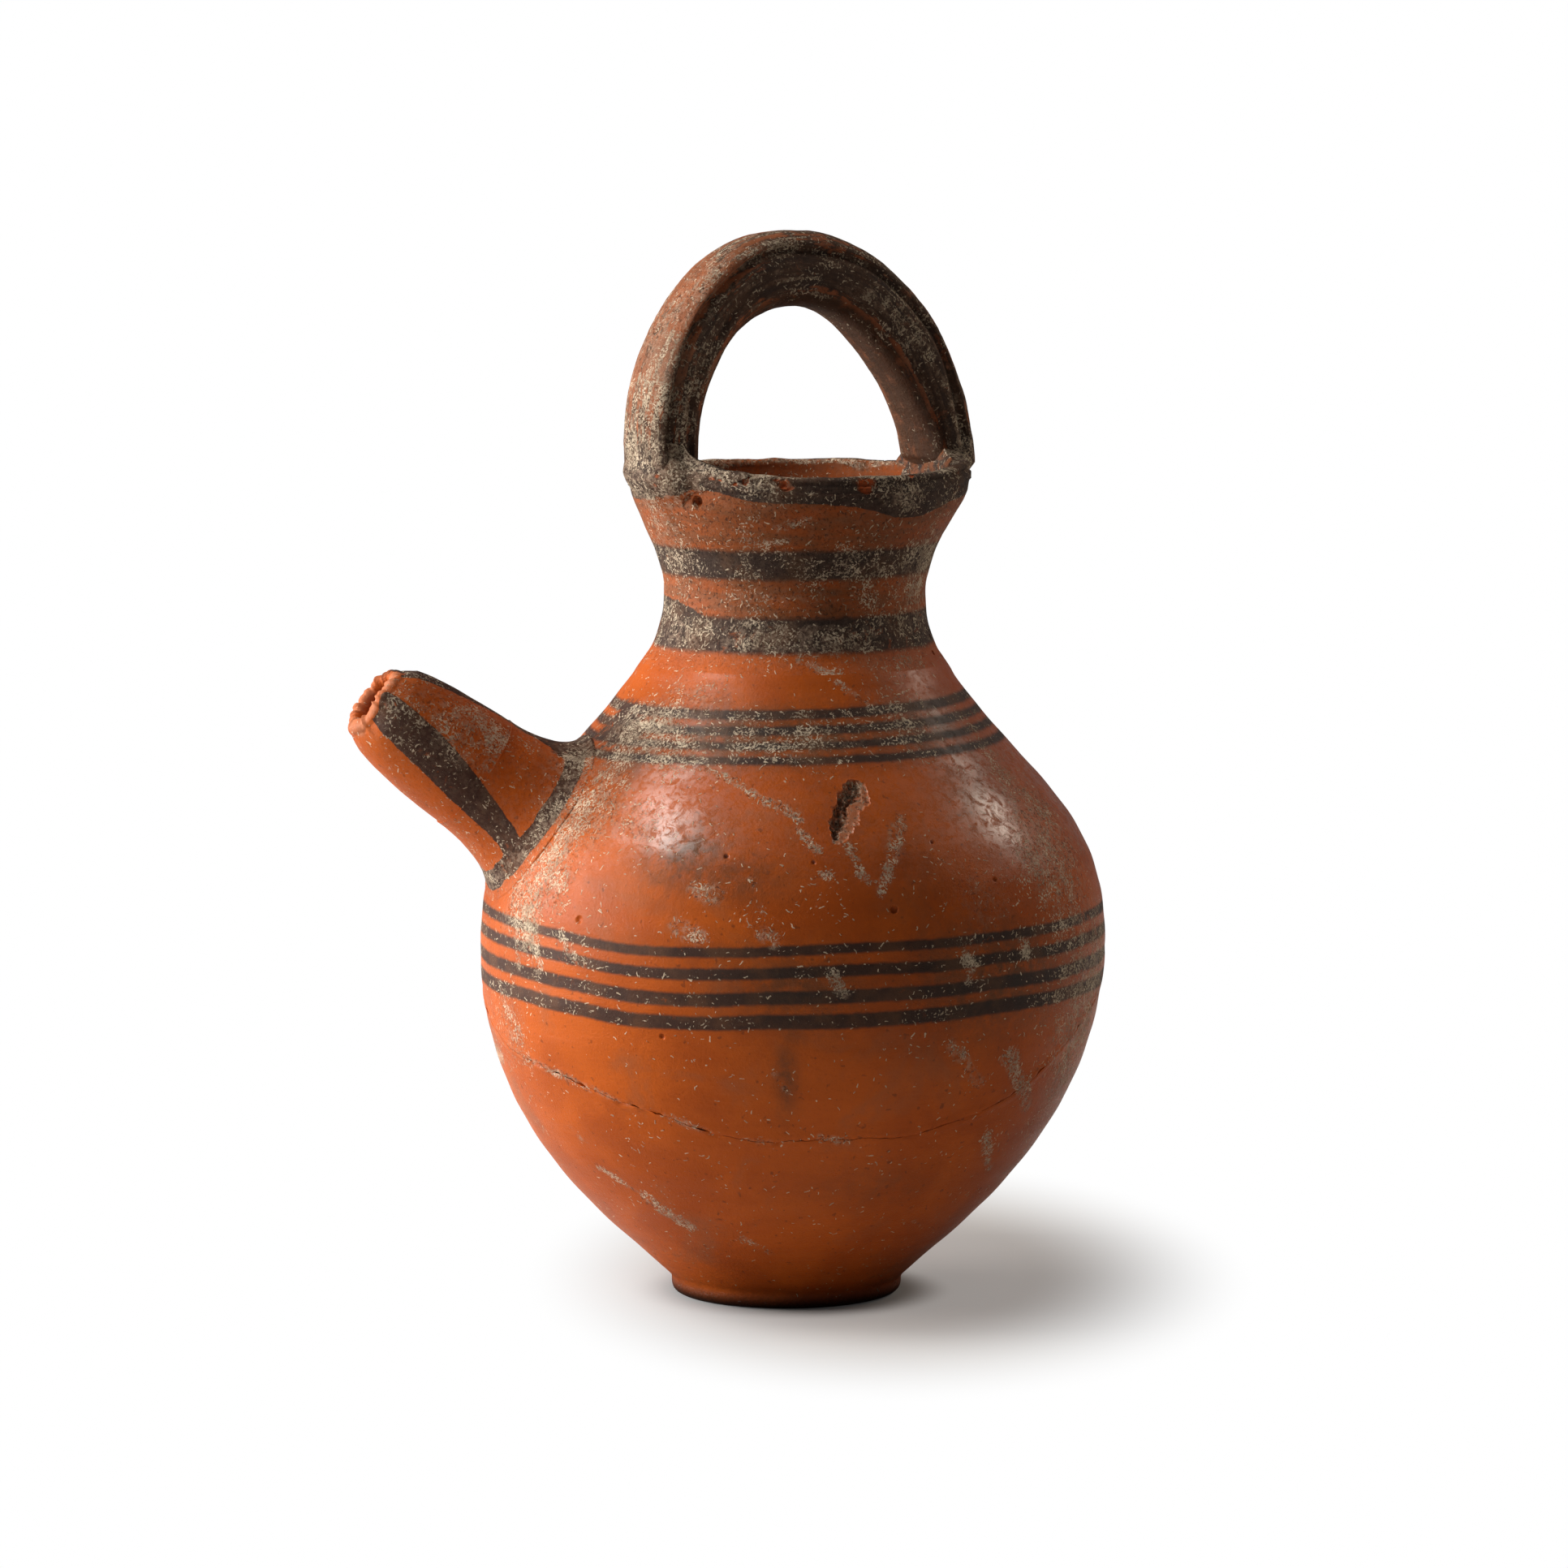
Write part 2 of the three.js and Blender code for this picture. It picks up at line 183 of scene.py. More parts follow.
# How far the jug stands out of true at each height, and towards which side.
lean_heights = (0, 30, 74, 125, 150, 172, 182, 200)
lean_shifts = (-1.4, -1.1, 0, 0, 0.5, 0.6, 0.3, 0)
lean_azimuth = math.radians(-14)


def hand_made(points):
    """The jug isn't quite true: its foot, neck and rim stand a little to one side of the belly."""
    shift = np.interp(points[..., 2], lean_heights, lean_shifts)
    moved = points.copy()
    moved[..., 0] += shift * math.cos(lean_azimuth)
    moved[..., 1] += shift * math.sin(lean_azimuth)
    return moved


def clay_mesh(name, grid, closed):
    """A piece of clay from rows of points. Columns always close. Rows close too, or end in a pole."""
    rows, columns = grid.shape[:2]
    faces = []
    here = np.arange(columns)
    beside = (here + 1) % columns
    if closed:
        points = grid.reshape(-1, 3)
        starts = [(row * columns, (row + 1) % rows * columns) for row in range(rows)]
    else:
        inner = grid[1:-1].reshape(-1, 3)
        points = np.vstack([inner, grid[0, :1], grid[-1, :1]])
        starts = [(row * columns, (row + 1) * columns) for row in range(rows - 3)]
        last = (rows - 3) * columns
        first_pole, last_pole = len(inner), len(inner) + 1
        faces += np.stack([np.full(columns, first_pole), beside, here], axis=1).tolist()
        faces += np.stack([last + here, last + beside, np.full(columns, last_pole)], axis=1).tolist()
    for low, high in starts:
        faces += np.stack([low + here, low + beside, high + beside, high + here], axis=1).tolist()
    mesh = bpy.data.meshes.new(name)
    mesh.from_pydata((points * mm).tolist(), [], faces)
    piece = bpy.data.objects.new(name, mesh)
    bpy.context.collection.objects.link(piece)
    set_outward(piece)
    return piece


def set_outward(piece):
    work = bmesh.new()
    work.from_mesh(piece.data)
    bmesh.ops.recalc_face_normals(work, faces=work.faces)
    if work.calc_volume(signed=True) < 0:
        bmesh.ops.reverse_faces(work, faces=work.faces)
    work.to_mesh(piece.data)
    work.free()


def read_corners(piece, what):
    flat = np.empty(len(piece.data.vertices) * 3, np.float32)
    piece.data.vertices.foreach_get(what, flat)
    return flat.reshape(-1, 3).astype(float)


def corners_of(piece):
    """The piece's corners in millimetres."""
    return read_corners(piece, "co") / mm


def set_corners(piece, points):
    piece.data.vertices.foreach_set("co", (points * mm).astype(np.float32).ravel())
    piece.data.update()


def keep_value(piece, name, values):
    """Keeps a value for each corner of the piece, for its finish to read."""
    attribute = piece.data.attributes.new(name, "FLOAT", "POINT")
    attribute.data.foreach_set("value", np.asarray(values, np.float32))


def on_wall(azimuth, height, outline=climb):
    """The point on the outside of the wall at an azimuth in degrees and a height."""
    radius = np.interp(height, outline[:, 1], outline[:, 0])
    angle = np.radians(azimuth)
    return np.array([radius * np.cos(angle), radius * np.sin(angle), height])


def distance_to(points, start, end):
    """Distance of each point from the straight line between two places."""
    way = end - start
    share = limited((points - start) @ way / max(way @ way, 1e-9))
    return np.linalg.norm(points - start - share[:, None] * way, axis=1)


thinnest_crust = 0.075
# Scars of burial on the body: azimuth and height of both ends, width, strength.
body_marks = (
    ((-126, 114.5), (-113, 109.5), 1.0, 0.95),
    ((-113, 109.5), (-102.6, 105.5), 1.2, 0.95),
    ((-102, 103), (-98, 99), 1.2, 0.6),
    ((-81.1, 104.4), (-83.8, 96.9), 1.6, 1.0),
    ((-83.8, 96.9), (-86.7, 90.9), 1.3, 1.0),
    ((-93.1, 100.3), (-90.4, 94.1), 0.9, 0.8),
    ((-90.4, 94.1), (-86.7, 90.9), 0.8, 0.7),
    ((-77.2, 99.8), (-74.2, 96.3), 0.3, 0.7),
    ((-98.4, 95.0), (-96.6, 94.2), 1.0, 0.8),
    ((-161, 84.0), (-156.5, 74.5), 2.1, 1.0),
    ((-164, 79.0), (-163, 71.5), 1.0, 0.8),
    ((-122.5, 92.4), (-119, 91.2), 2.2, 0.8),
    ((-125, 84.0), (-121, 82.0), 2.2, 0.75),
    ((-112, 94.5), (-109.3, 83.4), 0.9, 0.8),
    ((-109.3, 83.4), (-107.5, 81.5), 1.6, 0.8),
    ((-71.8, 78.3), (-71.3, 75.6), 1.6, 0.9),
    ((-58.4, 79.4), (-57.9, 77.4), 1.5, 0.9),
    ((-71.9, 72.6), (-71.2, 71.5), 0.9, 0.9),
    ((-150.5, 79.5), (-147, 76.0), 1.5, 0.6),
    ((-97.4, 76), (-95, 71), 1.5, 0.7),
    ((-152.6, 31.2), (-143, 25.5), 1.4, 0.7),
    ((-143, 25.5), (-134.4, 19.9), 1.6, 1.0),
    ((-160, 46), (-154, 37), 1.3, 0.5),
    ((-108, 56), (-105, 51), 1.0, 0.45),
    ((-74, 60), (-66, 50), 2.0, 0.5),
    ((-60, 56), (-48, 44), 2.2, 0.6),
    ((-58, 38), (-50, 30), 1.8, 0.6),
    ((-98, 40.5), (-92, 40.2), 1.2, 0.8),
    ((-120, 18), (-112, 14), 1.5, 0.4),
    ((-88, 130), (-74, 124), 1.2, 0.5),
)
# Broad stretches that stay crusted: azimuth, height, reach round and up, strength.
body_fields = (
    (-159, 99, 11, 17, 0.66),
    (-163, 84, 9, 9, 0.62),
    (-150, 104, 9, 9, 0.45),
    (-150, 120, 26, 7, 0.58),
    (-139, 103, 9, 7, 0.36),
    (-66, 88, 12, 12, 0.32),
    (-100, 120, 60, 5.5, 0.3),
    (-40, 95, 16, 26, 0.5),
    (-33, 62, 16, 26, 0.55),
    (-140, 128, 20, 6, 0.35),
    (-168, 60, 10, 14, 0.35),
    (-70, 124, 20, 9, 0.3),
    (-110, 90, 24, 10, 0.18),
)
# Clouds of grey-brown smoke in the slip: azimuth, height, reach round and up, strength.
smoke_clouds = (
    (-125, 98, 11, 8, 0.85),
    (-115, 94, 12, 6, 0.6),
    (-103, 72.5, 15, 8, 0.75),
    (-105.3, 54, 2.2, 8, 0.75),
    (-104, 63, 3.0, 3, 0.5),
    (-84, 118, 30, 5, 0.35),
    (-58, 110, 14, 14, 0.5),
    (-150, 106, 9, 8, 0.35),
    (-112, 120, 46, 6.5, 0.95),
    (-66, 120.5, 26, 6.5, 0.85),
    (-150, 117, 12, 8, 0.8),
    (-92, 104, 8, 12, 0.3),
    (-112, 78, 18, 7, 0.35),
    (-64, 73, 22, 13, 0.85),
    (-80, 96, 10, 14, 0.35),
    (-84, 30, 20, 6, 0.3),
    (30, 95, 30, 16, 0.8),
    (100, 60, 25, 18, 0.7),
    (150, 108, 18, 10, 0.6),
    (-10, 40, 25, 12, 0.5),
)
back_marks = [
    ((start, up), (start + chance.uniform(-14, 14), up + chance.uniform(-10, 10)),
     chance.uniform(0.9, 2.6), chance.uniform(0.4, 1.0))
    for start, up in zip(chance.uniform(-8, 190, 34), chance.uniform(14, 124, 34))
]
back_fields = [
    (start, up, chance.uniform(10, 26), chance.uniform(7, 22), chance.uniform(0.25, 0.6))
    for start, up in zip(chance.uniform(0, 185, 9), chance.uniform(20, 120, 9))
]


def azimuth_of(points):
    """Degrees round the jug's axis."""
    return np.degrees(np.arctan2(points[:, 1], points[:, 0]))


def turned_from(azimuth, middle):
    """Degrees from one azimuth round to another, the short way."""
    return np.mod(azimuth - middle + 180, 360) - 180


def wandering(points, pitch, seed):
    """A smooth drift of each place to and fro, between about -1 and 1 along each axis."""
    draws = np.random.default_rng(seed)
    drift = np.zeros((len(points), 3))
    for _ in range(7):
        wave = draws.normal(size=3) * 2.2 / pitch
        drift += np.sin(points @ wave + draws.uniform(0, math.tau))[:, None] * draws.normal(size=3) / 2.6
    return drift


def fields_at(points, fields):
    """The strongest of the soft patches at each place: azimuth, height, reach round and up, strength."""
    azimuth = azimuth_of(points)
    return np.max([
        strength * hump(turned_from(azimuth, middle) / round_reach) * hump((points[:, 2] - height) / up_reach)
        for middle, height, round_reach, up_reach, strength in fields
    ], axis=0)


def marks_at(points, marks, place_on):
    """The strongest of the marks at each place: both ends, width and strength."""
    return np.max([
        strength * hump(distance_to(points, place_on(*start), place_on(*end)) / width)
        for start, end, width, strength in marks
    ], axis=0)


def crust_on(points):
    """How much lime crust the ground left at each place on the outside of the body and neck."""
    astray = 1.3 * wandering(points, 5.0, 14) + 0.7 * wandering(points, 1.9, 15)
    patches = fields_at(points + astray, (*body_fields, *back_fields))
    scars = marks_at(points + 0.4 * astray, (*body_marks, *back_marks), on_wall)
    return np.maximum(np.maximum(patches, scars), thinnest_crust)


class Wire:
    """An output of a node. Arithmetic with it adds Math nodes to its tree."""

    def __init__(self, tree, socket):
        self.tree = tree
        self.socket = socket

    def to(self, socket):
        self.tree.links.new(self.socket, socket)

    def step(self, operation, *others):
        return add(self.tree, "ShaderNodeMath", dict(enumerate((self, *others))), operation=operation)[0]

    def __add__(self, other):
        return self.step("ADD", other)

    def __sub__(self, other):
        return self.step("SUBTRACT", other)

    def __rsub__(self, other):
        return add(self.tree, "ShaderNodeMath", {0: other, 1: self}, operation="SUBTRACT")[0]

    def __mul__(self, other):
        return self.step("MULTIPLY", other)

    def __truediv__(self, other):
        return self.step("DIVIDE", other)

    def __rtruediv__(self, other):
        return add(self.tree, "ShaderNodeMath", {0: other, 1: self}, operation="DIVIDE")[0]

    def __pow__(self, other):
        return self.step("POWER", other)

    def __abs__(self):
        return self.step("ABSOLUTE")


class Made:
    """A node whose outputs are wires."""

    def __init__(self, tree, node):
        self.tree = tree
        self.node = node

    def __getitem__(self, name):
        return Wire(self.tree, self.node.outputs[name])


def add(tree, kind, inputs=None, **settings):
    """A node with its settings and inputs. An input is a plain value or a wire."""
    node = tree.nodes.new(kind)
    for name, value in settings.items():
        setattr(node, name, value)
    for name, value in (inputs or {}).items():
        if isinstance(value, Wire):
            value.to(node.inputs[name])
        else:
            node.inputs[name].default_value = value
    return Made(tree, node)


def new_group(name, kind, inputs, outputs):
    """A node group. Each socket has its plain value, or else the name of what it carries."""
    tree = bpy.data.node_groups.new(name, kind)
    for side, sockets in (("INPUT", inputs), ("OUTPUT", outputs)):
        for label, value in sockets.items():
            carried = {float: "Float", tuple: "Color"}.get(type(value), value)
            socket = tree.interface.new_socket(name=label, in_out=side, socket_type="NodeSocket" + carried)
            if carried != value:
                socket.default_value = value
    return tree, Made(tree, tree.nodes.new("NodeGroupInput")), tree.nodes.new("NodeGroupOutput").inputs


def largest(first, *others):
    for other in others:
        first = first.step("MAXIMUM", other)
    return first


def vector_step(operation, first, *others, output="Vector"):
    """One step of arithmetic with vectors."""
    inputs = dict(enumerate((first, *others)))
    return add(first.tree, "ShaderNodeVectorMath", inputs, operation=operation)[output]


def ramp(value, low, high, to_low=0.0, to_high=1.0):
    """A smooth step of a value between two levels."""
    inputs = {"Value": value, "From Min": low, "From Max": high, "To Min": to_low, "To Max": to_high}
    return add(value.tree, "ShaderNodeMapRange", inputs, interpolation_type="SMOOTHSTEP")[0]


def noise(place, scale, detail=2.0, roughness=0.5, distortion=0.0, output="Fac"):
    inputs = {"Vector": place, "Scale": scale, "Detail": detail, "Roughness": roughness,
              "Distortion": distortion}
    return add(place.tree, "ShaderNodeTexNoise", inputs)[output]


def mixed(factor, first, second):
    """Two colours mixed by a mask."""
    return add(factor.tree, "ShaderNodeMix", {0: factor, 6: first, 7: second}, data_type="RGBA")[2]


# The relief that hands and the wheel leave in clay: throwing rings, soft swells, grain and small pits.
relief, given, result = new_group(
    "hand relief", "GeometryNodeTree",
    {"Geometry": "Geometry", "Ring Pitch": 9.0, "Ring Depth": 0.0, "Swell Size": 22.0, "Swell Depth": 0.25,
     "Grain Size": 2.4, "Grain Depth": 0.05, "Pit Spacing": 9.0, "Pit Radius": 0.8, "Pit Depth": 0.25,
     "Finish": "Material"},
    {"Geometry": "Geometry"},
)
relief.is_modifier = True
position = add(relief, "GeometryNodeInputPosition")[0]
where = vector_step("MULTIPLY", position, (1 / mm,) * 3)
drift = noise(where, 0.02) * 9
beat = (add(relief, "ShaderNodeSeparateXYZ", {0: where})["Z"] + drift) / given["Ring Pitch"]
rings = ((beat * math.tau).step("SINE") * 0.5 - 0.5) * given["Ring Depth"]
swells = (noise(where, 1 / given["Swell Size"]) - 0.75) * given["Swell Depth"]
grains = (noise(where, 1 / given["Grain Size"], 4, 0.6) - 0.75) * given["Grain Depth"]
cells = add(relief, "ShaderNodeTexVoronoi", {"Vector": where, "Scale": 1 / given["Pit Spacing"]})
pit_draw = add(relief, "ShaderNodeSeparateXYZ", {0: cells["Color"]})["X"]
pit_size = pit_draw * (given["Pit Radius"] / given["Pit Spacing"])
holes = ramp(cells["Distance"] / pit_size, 0.25, 1.0, -1.0, 0.0) * given["Pit Depth"]
steady = add(relief, "GeometryNodeInputNamedAttribute", {"Name": "steady"}, data_type="FLOAT")["Attribute"]
total = (rings + swells + grains + holes) * (1 - steady) * mm
normal = add(relief, "GeometryNodeInputNormal")[0]
offset = add(relief, "ShaderNodeVectorMath", {0: normal, 3: total}, operation="SCALE")[0]
moved = add(relief, "GeometryNodeSetPosition", {"Geometry": given["Geometry"], "Offset": offset})[0]
whole = add(relief, "GeometryNodeRealizeInstances", {"Geometry": moved})[0]
dressed = add(relief, "GeometryNodeSetMaterial", {"Geometry": whole, "Material": given["Finish"]})[0]
dressed.to(result["Geometry"])


def finished(piece, finish=None, **sizes):
    """Presses the hand relief into a piece, dresses it in its finish and leaves it a plain, smooth mesh."""
    if finish:
        modifier = piece.modifiers.new("hand relief", "NODES")
        modifier.node_group = relief
        for socket in relief.interface.items_tree:
            key = socket.name.lower().replace(" ", "_")
            if socket.in_out == "INPUT" and key in sizes:
                modifier[socket.identifier] = float(sizes[key])
            if socket.name == "Finish":
                modifier[socket.identifier] = finish
    graph = bpy.context.evaluated_depsgraph_get()
    mesh = bpy.data.meshes.new_from_object(piece.evaluated_get(graph))
    piece.modifiers.clear()
    piece.data = mesh
    mesh.name = piece.name
    mesh.shade_smooth()
    mesh.set_sharp_from_angle(angle=math.radians(52))


# Finishes that the whole jug shares, each as a group of nodes.
slip, given, result = new_group(
    "mottled slip", "ShaderNodeTree",
    {"Place": "Vector", "Bright": (0.53, 0.106, 0.012, 1), "Deep": (0.35, 0.062, 0.008, 1),
     "Dull": (0.36, 0.105, 0.036, 1)},
    {"Color": "Color", "Grain": "Float"},
)
place = given["Place"]
cloud = ramp(noise(place, 0.045, 4, 0.6, 0.6), 0.36, 0.66)
brushed = noise(vector_step("MULTIPLY", place, (0.05, 0.05, 0.4)), 1.0, 3, 0.6)
speckled = noise(place, 1.6, 4, 0.65)
worn = ramp(noise(place, 0.06, 5, 0.6, 0.5), 0.52, 0.7)
dots = ramp(noise(place, 0.75, 2, 0.4), 0.66, 0.76)
tone = mixed(cloud * 0.6, given["Bright"], given["Deep"])
tone = mixed(ramp(brushed, 0.5, 0.75, 0.0, 0.2), tone, given["Deep"])
tone = mixed(worn * 0.55, tone, given["Dull"])
tone = mixed(ramp(speckled, 0.55, 0.75, 0.0, 0.4), tone, given["Deep"])
mixed(dots * 0.45, tone, (0.035, 0.018, 0.012, 1)).to(result["Color"])
(brushed * 0.9 + speckled * 0.8 - 0.35).to(result["Grain"])

band, given, result = new_group(
    "brushed band", "ShaderNodeTree",
    {"Height": 0.0, "Waver": 0.0, "Lower": 0.0, "Upper": 1.0, "Softness": 0.35},
    {"Mask": "Float"},
)
level = given["Height"] + given["Waver"]
soft = given["Softness"]
above = ramp(level - given["Lower"], soft * -1, soft)
below = ramp(given["Upper"] - level, soft * -1, soft)
(above * below).to(result["Mask"])

stroke, given, result = new_group(
    "short strokes", "ShaderNodeTree",
    {"Place": "Vector", "Spacing": 0.8, "Length": 0.42, "Width": 0.11, "Share": 0.3},
    {"Mask": "Float"},
)
place = given["Place"]
cells = add(stroke, "ShaderNodeTexVoronoi", {"Vector": place, "Scale": 1 / given["Spacing"]})
facing = add(stroke, "ShaderNodeNewGeometry")["Normal"]
way = vector_step("SUBTRACT", cells["Color"], (0.5, 0.5, 0.5))
way = vector_step("NORMALIZE", vector_step("CROSS_PRODUCT", facing, way))
across = vector_step("CROSS_PRODUCT", facing, way)
bend = vector_step("SUBTRACT", noise(place, 0.9, output="Color"), (0.5, 0.5, 0.5))
bend = vector_step("MULTIPLY_ADD", bend, (0.9, 0.9, 0.9), place)
away = vector_step("SUBTRACT", bend, cells["Position"])
along = abs(vector_step("DOT_PRODUCT", away, way, output="Value"))
beside = abs(vector_step("DOT_PRODUCT", away, across, output="Value"))
near = ramp(beside / given["Width"], 0.55, 1.45, 1.0, 0.0)
short = ramp(along / given["Length"], 0.7, 1.1, 1.0, 0.0)
draw = add(stroke, "ShaderNodeTexWhiteNoise", {"Vector": cells["Position"]})["Value"]
(near * short * draw.step("LESS_THAN", given["Share"])).to(result["Mask"])

lime, given, result = new_group(
    "lime crust", "ShaderNodeTree", {"Place": "Vector", "Amount": 0.2}, {"Mask": "Float", "Height": "Float"}
)
place, amount = given["Place"], given["Amount"]
clumps = noise(place, 0.17, 4, 0.62)
level = clumps * 0.5 + noise(place, 1.35, 5, 0.68, 1.4) - 0.25
over = level + amount * 0.30 - 0.82
share = amount ** 1.4 * 1.3 * ramp(clumps, 0.38, 0.66, 0.3, 1.25)
share = share * ramp(noise(place, 0.05, 3, 0.6), 0.40, 0.62, 0.4, 1.3)
hair = abs(noise(place, 1.25, 2, 0.5, 0.8) - 0.5)
threads = ramp(share * 0.075 - 0.004 - hair, 0.0, 0.012) * ramp(noise(place, 1.9), 0.44, 0.52)
grains = ramp(share, 0.0, 0.35) * 0.16 + noise(place, 1.9, 3, 0.62)
grit = ramp(grains, 0.68, 0.75) * ramp(share, 0.0, 0.10)
strokes = largest(threads, grit)
for spacing, apart in ((1.7, 0.0), (1.15, 17.0), (0.75, 31.0)):
    inputs = {"Place": vector_step("ADD", place, (apart,) * 3), "Share": share, "Spacing": spacing,
              "Length": spacing * 0.38, "Width": 0.075 + spacing * 0.02}
    strokes = largest(strokes, add(lime, "ShaderNodeGroup", inputs, node_tree=stroke)["Mask"])
largest(ramp(over, 0.0, 0.05), strokes * 0.95).to(result["Mask"])
largest(ramp(over, 0.0, 0.16), strokes * 0.4).to(result["Height"])

scuff, given, result = new_group(
    "scuffed paint", "ShaderNodeTree", {"Place": "Vector", "Amount": 0.5}, {"Mask": "Float"}
)
place = given["Place"]
level = noise(place, 0.42, 6, 0.7, 0.8) + noise(place, 0.07, 3, 0.5) * 0.5 - 0.25
ramp(level + given["Amount"] * 0.25 - 0.76, -0.04, 0.1).to(result["Mask"])

paint_dark = (0.031, 0.026, 0.023, 1)
paint_thin = (0.078, 0.046, 0.029, 1)
smoke_and_shade_tone = (0.115, 0.054, 0.026, 1)
bare_tone = (0.50, 0.165, 0.072, 1)
aged_tone = (0.20, 0.068, 0.024, 1)
hollow_tone = (0.13, 0.07, 0.04, 1)
lime_tone = (0.80, 0.66, 0.48, 1)
lime_grey = (0.42, 0.33, 0.235, 1)
dust_tone = (0.46, 0.33, 0.235, 1)
pore_tone = (0.022, 0.014, 0.010, 1)
painted_foot_shade_tone = (0.016, 0.008, 0.005, 1)
# Heights between which the neck takes its own tone and roughness, the sheen of the shoulder comes and goes,
# and the painted shade that darkens the foot fades. The bands lean down towards the spout and climb again on
# the flank by it.
neck_seam = (131.0, 141.0)
neck_rough = (131.0, 139.0)
sheen_heights = ((89.0, 100.0), (110.0, 124.0))
painted_foot_shade_heights = (0.6, 7.2)
spout_flank = (-68.0, -42.0)
flank_climb = 140


def clay_finish(name, bands=(), tilt=0.0, slip_colors=None, paint="paint", gloss=0.34, coarse=0.12, aged=0.5,
                bare_color=bare_tone, softness=0.42, polished=0.0, flow=None, smoke_color=smoke_and_shade_tone):
    """Slip, painted bands and crust, in that order. Bands are pairs of heights. paint names a kept value, and
    flow a kept place along the piece, where the wear runs in streaks."""
    material = bpy.data.materials.new(name)
    material.use_nodes = True
    tree = material.node_tree
    shader = tree.nodes["Principled BSDF"].inputs
    place = vector_step("MULTIPLY", add(tree, "ShaderNodeTexCoord")["Object"], (1 / mm,) * 3)
    axes = add(tree, "ShaderNodeSeparateXYZ", {0: place})
    height = axes["Z"]
    crust, smoke, inside, bare, hollow, kept = (
        add(tree, "ShaderNodeAttribute", attribute_name=label)["Fac"]
        for label in ("crust", "smoke", "inside", "bare", "hollow", paint)
    )
    base = add(tree, "ShaderNodeGroup", {"Place": place, **(slip_colors or {})}, node_tree=slip)
    fray = noise(place, 0.5, 3) * 0.5 - 0.25
    patchy = noise(place, 0.33, 6, 0.68, 0.5) * 1.7 - 0.85
    thick = ramp(noise(place, 0.11, 5, 0.6), 0.34, 0.56)
    if flow:
        along = vector_step("MULTIPLY", add(tree, "ShaderNodeAttribute", attribute_name=flow)["Vector"],
                            (0.09, 0.75, 0.75))
        streaks = ramp(noise(along, 1.0, 5, 0.62, 0.3), 0.34, 0.66, -1.0, 1.0)
        crust = crust + streaks * 0.16
        patchy = patchy * 0.75 + streaks * 0.30
        thick = add(tree, "ShaderNodeClamp", {"Value": thick * 0.5 - streaks * 0.6})[0]

    # Paint: the kept value and the bands, off where the clay is bare and thin where it is rubbed.
    kept = kept + patchy * kept * (1 - kept) * 4.0
    masks = [ramp(kept + fray * 0.5, 0.38, 0.62)]
    leaning = height - axes["X"] * tilt - ramp(axes["X"], *spout_flank, tilt * flank_climb, 0.0)
    waver = noise(place, 0.03) * 1.6 - 0.8 + fray
    for lower, upper in bands:
        inputs = {"Height": leaning, "Waver": waver, "Lower": lower, "Upper": upper, "Softness": softness}
        masks.append(add(tree, "ShaderNodeGroup", inputs, node_tree=band)["Mask"])
    rubbed = add(tree, "ShaderNodeGroup", {"Place": place, "Amount": crust * 0.35 + 0.3}, node_tree=scuff)
    covered = largest(*masks) * (1 - bare) * (1 - inside) * (1 - rubbed["Mask"] * 0.75)

    # The slip with its smoke and painted shade, its age, its bare spots, the dark mouth and the paint.
    smoke_and_shade_mask = smoke * ramp(noise(place, 0.35, 6, 0.7, 0.4), 0.30, 0.62, 0.35, 1.1)
    tone = mixed(smoke_and_shade_mask.step("MINIMUM", 0.9), base["Color"], smoke_color)
    wiped = noise(vector_step("MULTIPLY", place, (0.10, 0.10, 0.55)), 1.0, 5, 0.68)
    high = ramp(height, *neck_seam, 0.0, aged) * (1 - inside) * ramp(wiped, 0.34, 0.64, 0.62, 1.25)
    tone = mixed(high, tone, aged_tone)
    tone = mixed(bare * 0.9, tone, bare_color)
    # Inside faces high up darken towards the smoke and shade tone: the mouth, and the handle's belly face as
    # painted shade.
    tone = mixed(inside * ramp(height, *neck_seam, 0.0, 0.42), tone, smoke_and_shade_tone)
    tone = mixed(hollow * ramp(noise(place, 0.9, 4, 0.6), 0.36, 0.60), tone, hollow_tone)
    tone = mixed(covered * 0.93, tone, mixed(thick, paint_thin, paint_dark))
    # Over everything, dust, pores, lime, and the painted shade that darkens the foot near the floor.
    specks = add(tree, "ShaderNodeGroup", {"Place": place, "Amount": crust + covered * 0.13}, node_tree=lime)
    lime_color = mixed(ramp(noise(place, 0.3, 3), 0.35, 0.65), lime_grey, lime_tone)
    haze = ramp(noise(place, 0.7, 6, 0.74), 0.44, 0.62) * ramp(crust, 0.16, 0.5, 0.0, 0.5)
    tone = mixed(haze, tone, dust_tone)
    pores = ramp(noise(place, 1.5, 4, 0.66, 0.4), 0.44, 0.36)
    pores = pores * ramp(crust + high * 0.3, 0.14, 0.45, 0.05, 0.6)
    tone = mixed(pores, tone, pore_tone)
    tone = mixed(specks["Mask"] * 0.80, tone, lime_color)
    # Painted shade: the lowest millimetres of the foot are darkened as if in shadow against the floor.
    painted_foot_shade = ramp(height + fray * 1.5, *painted_foot_shade_heights, 0.98, 0.0) ** 1.5
    mixed(painted_foot_shade, tone, painted_foot_shade_tone).to(shader["Base Color"])

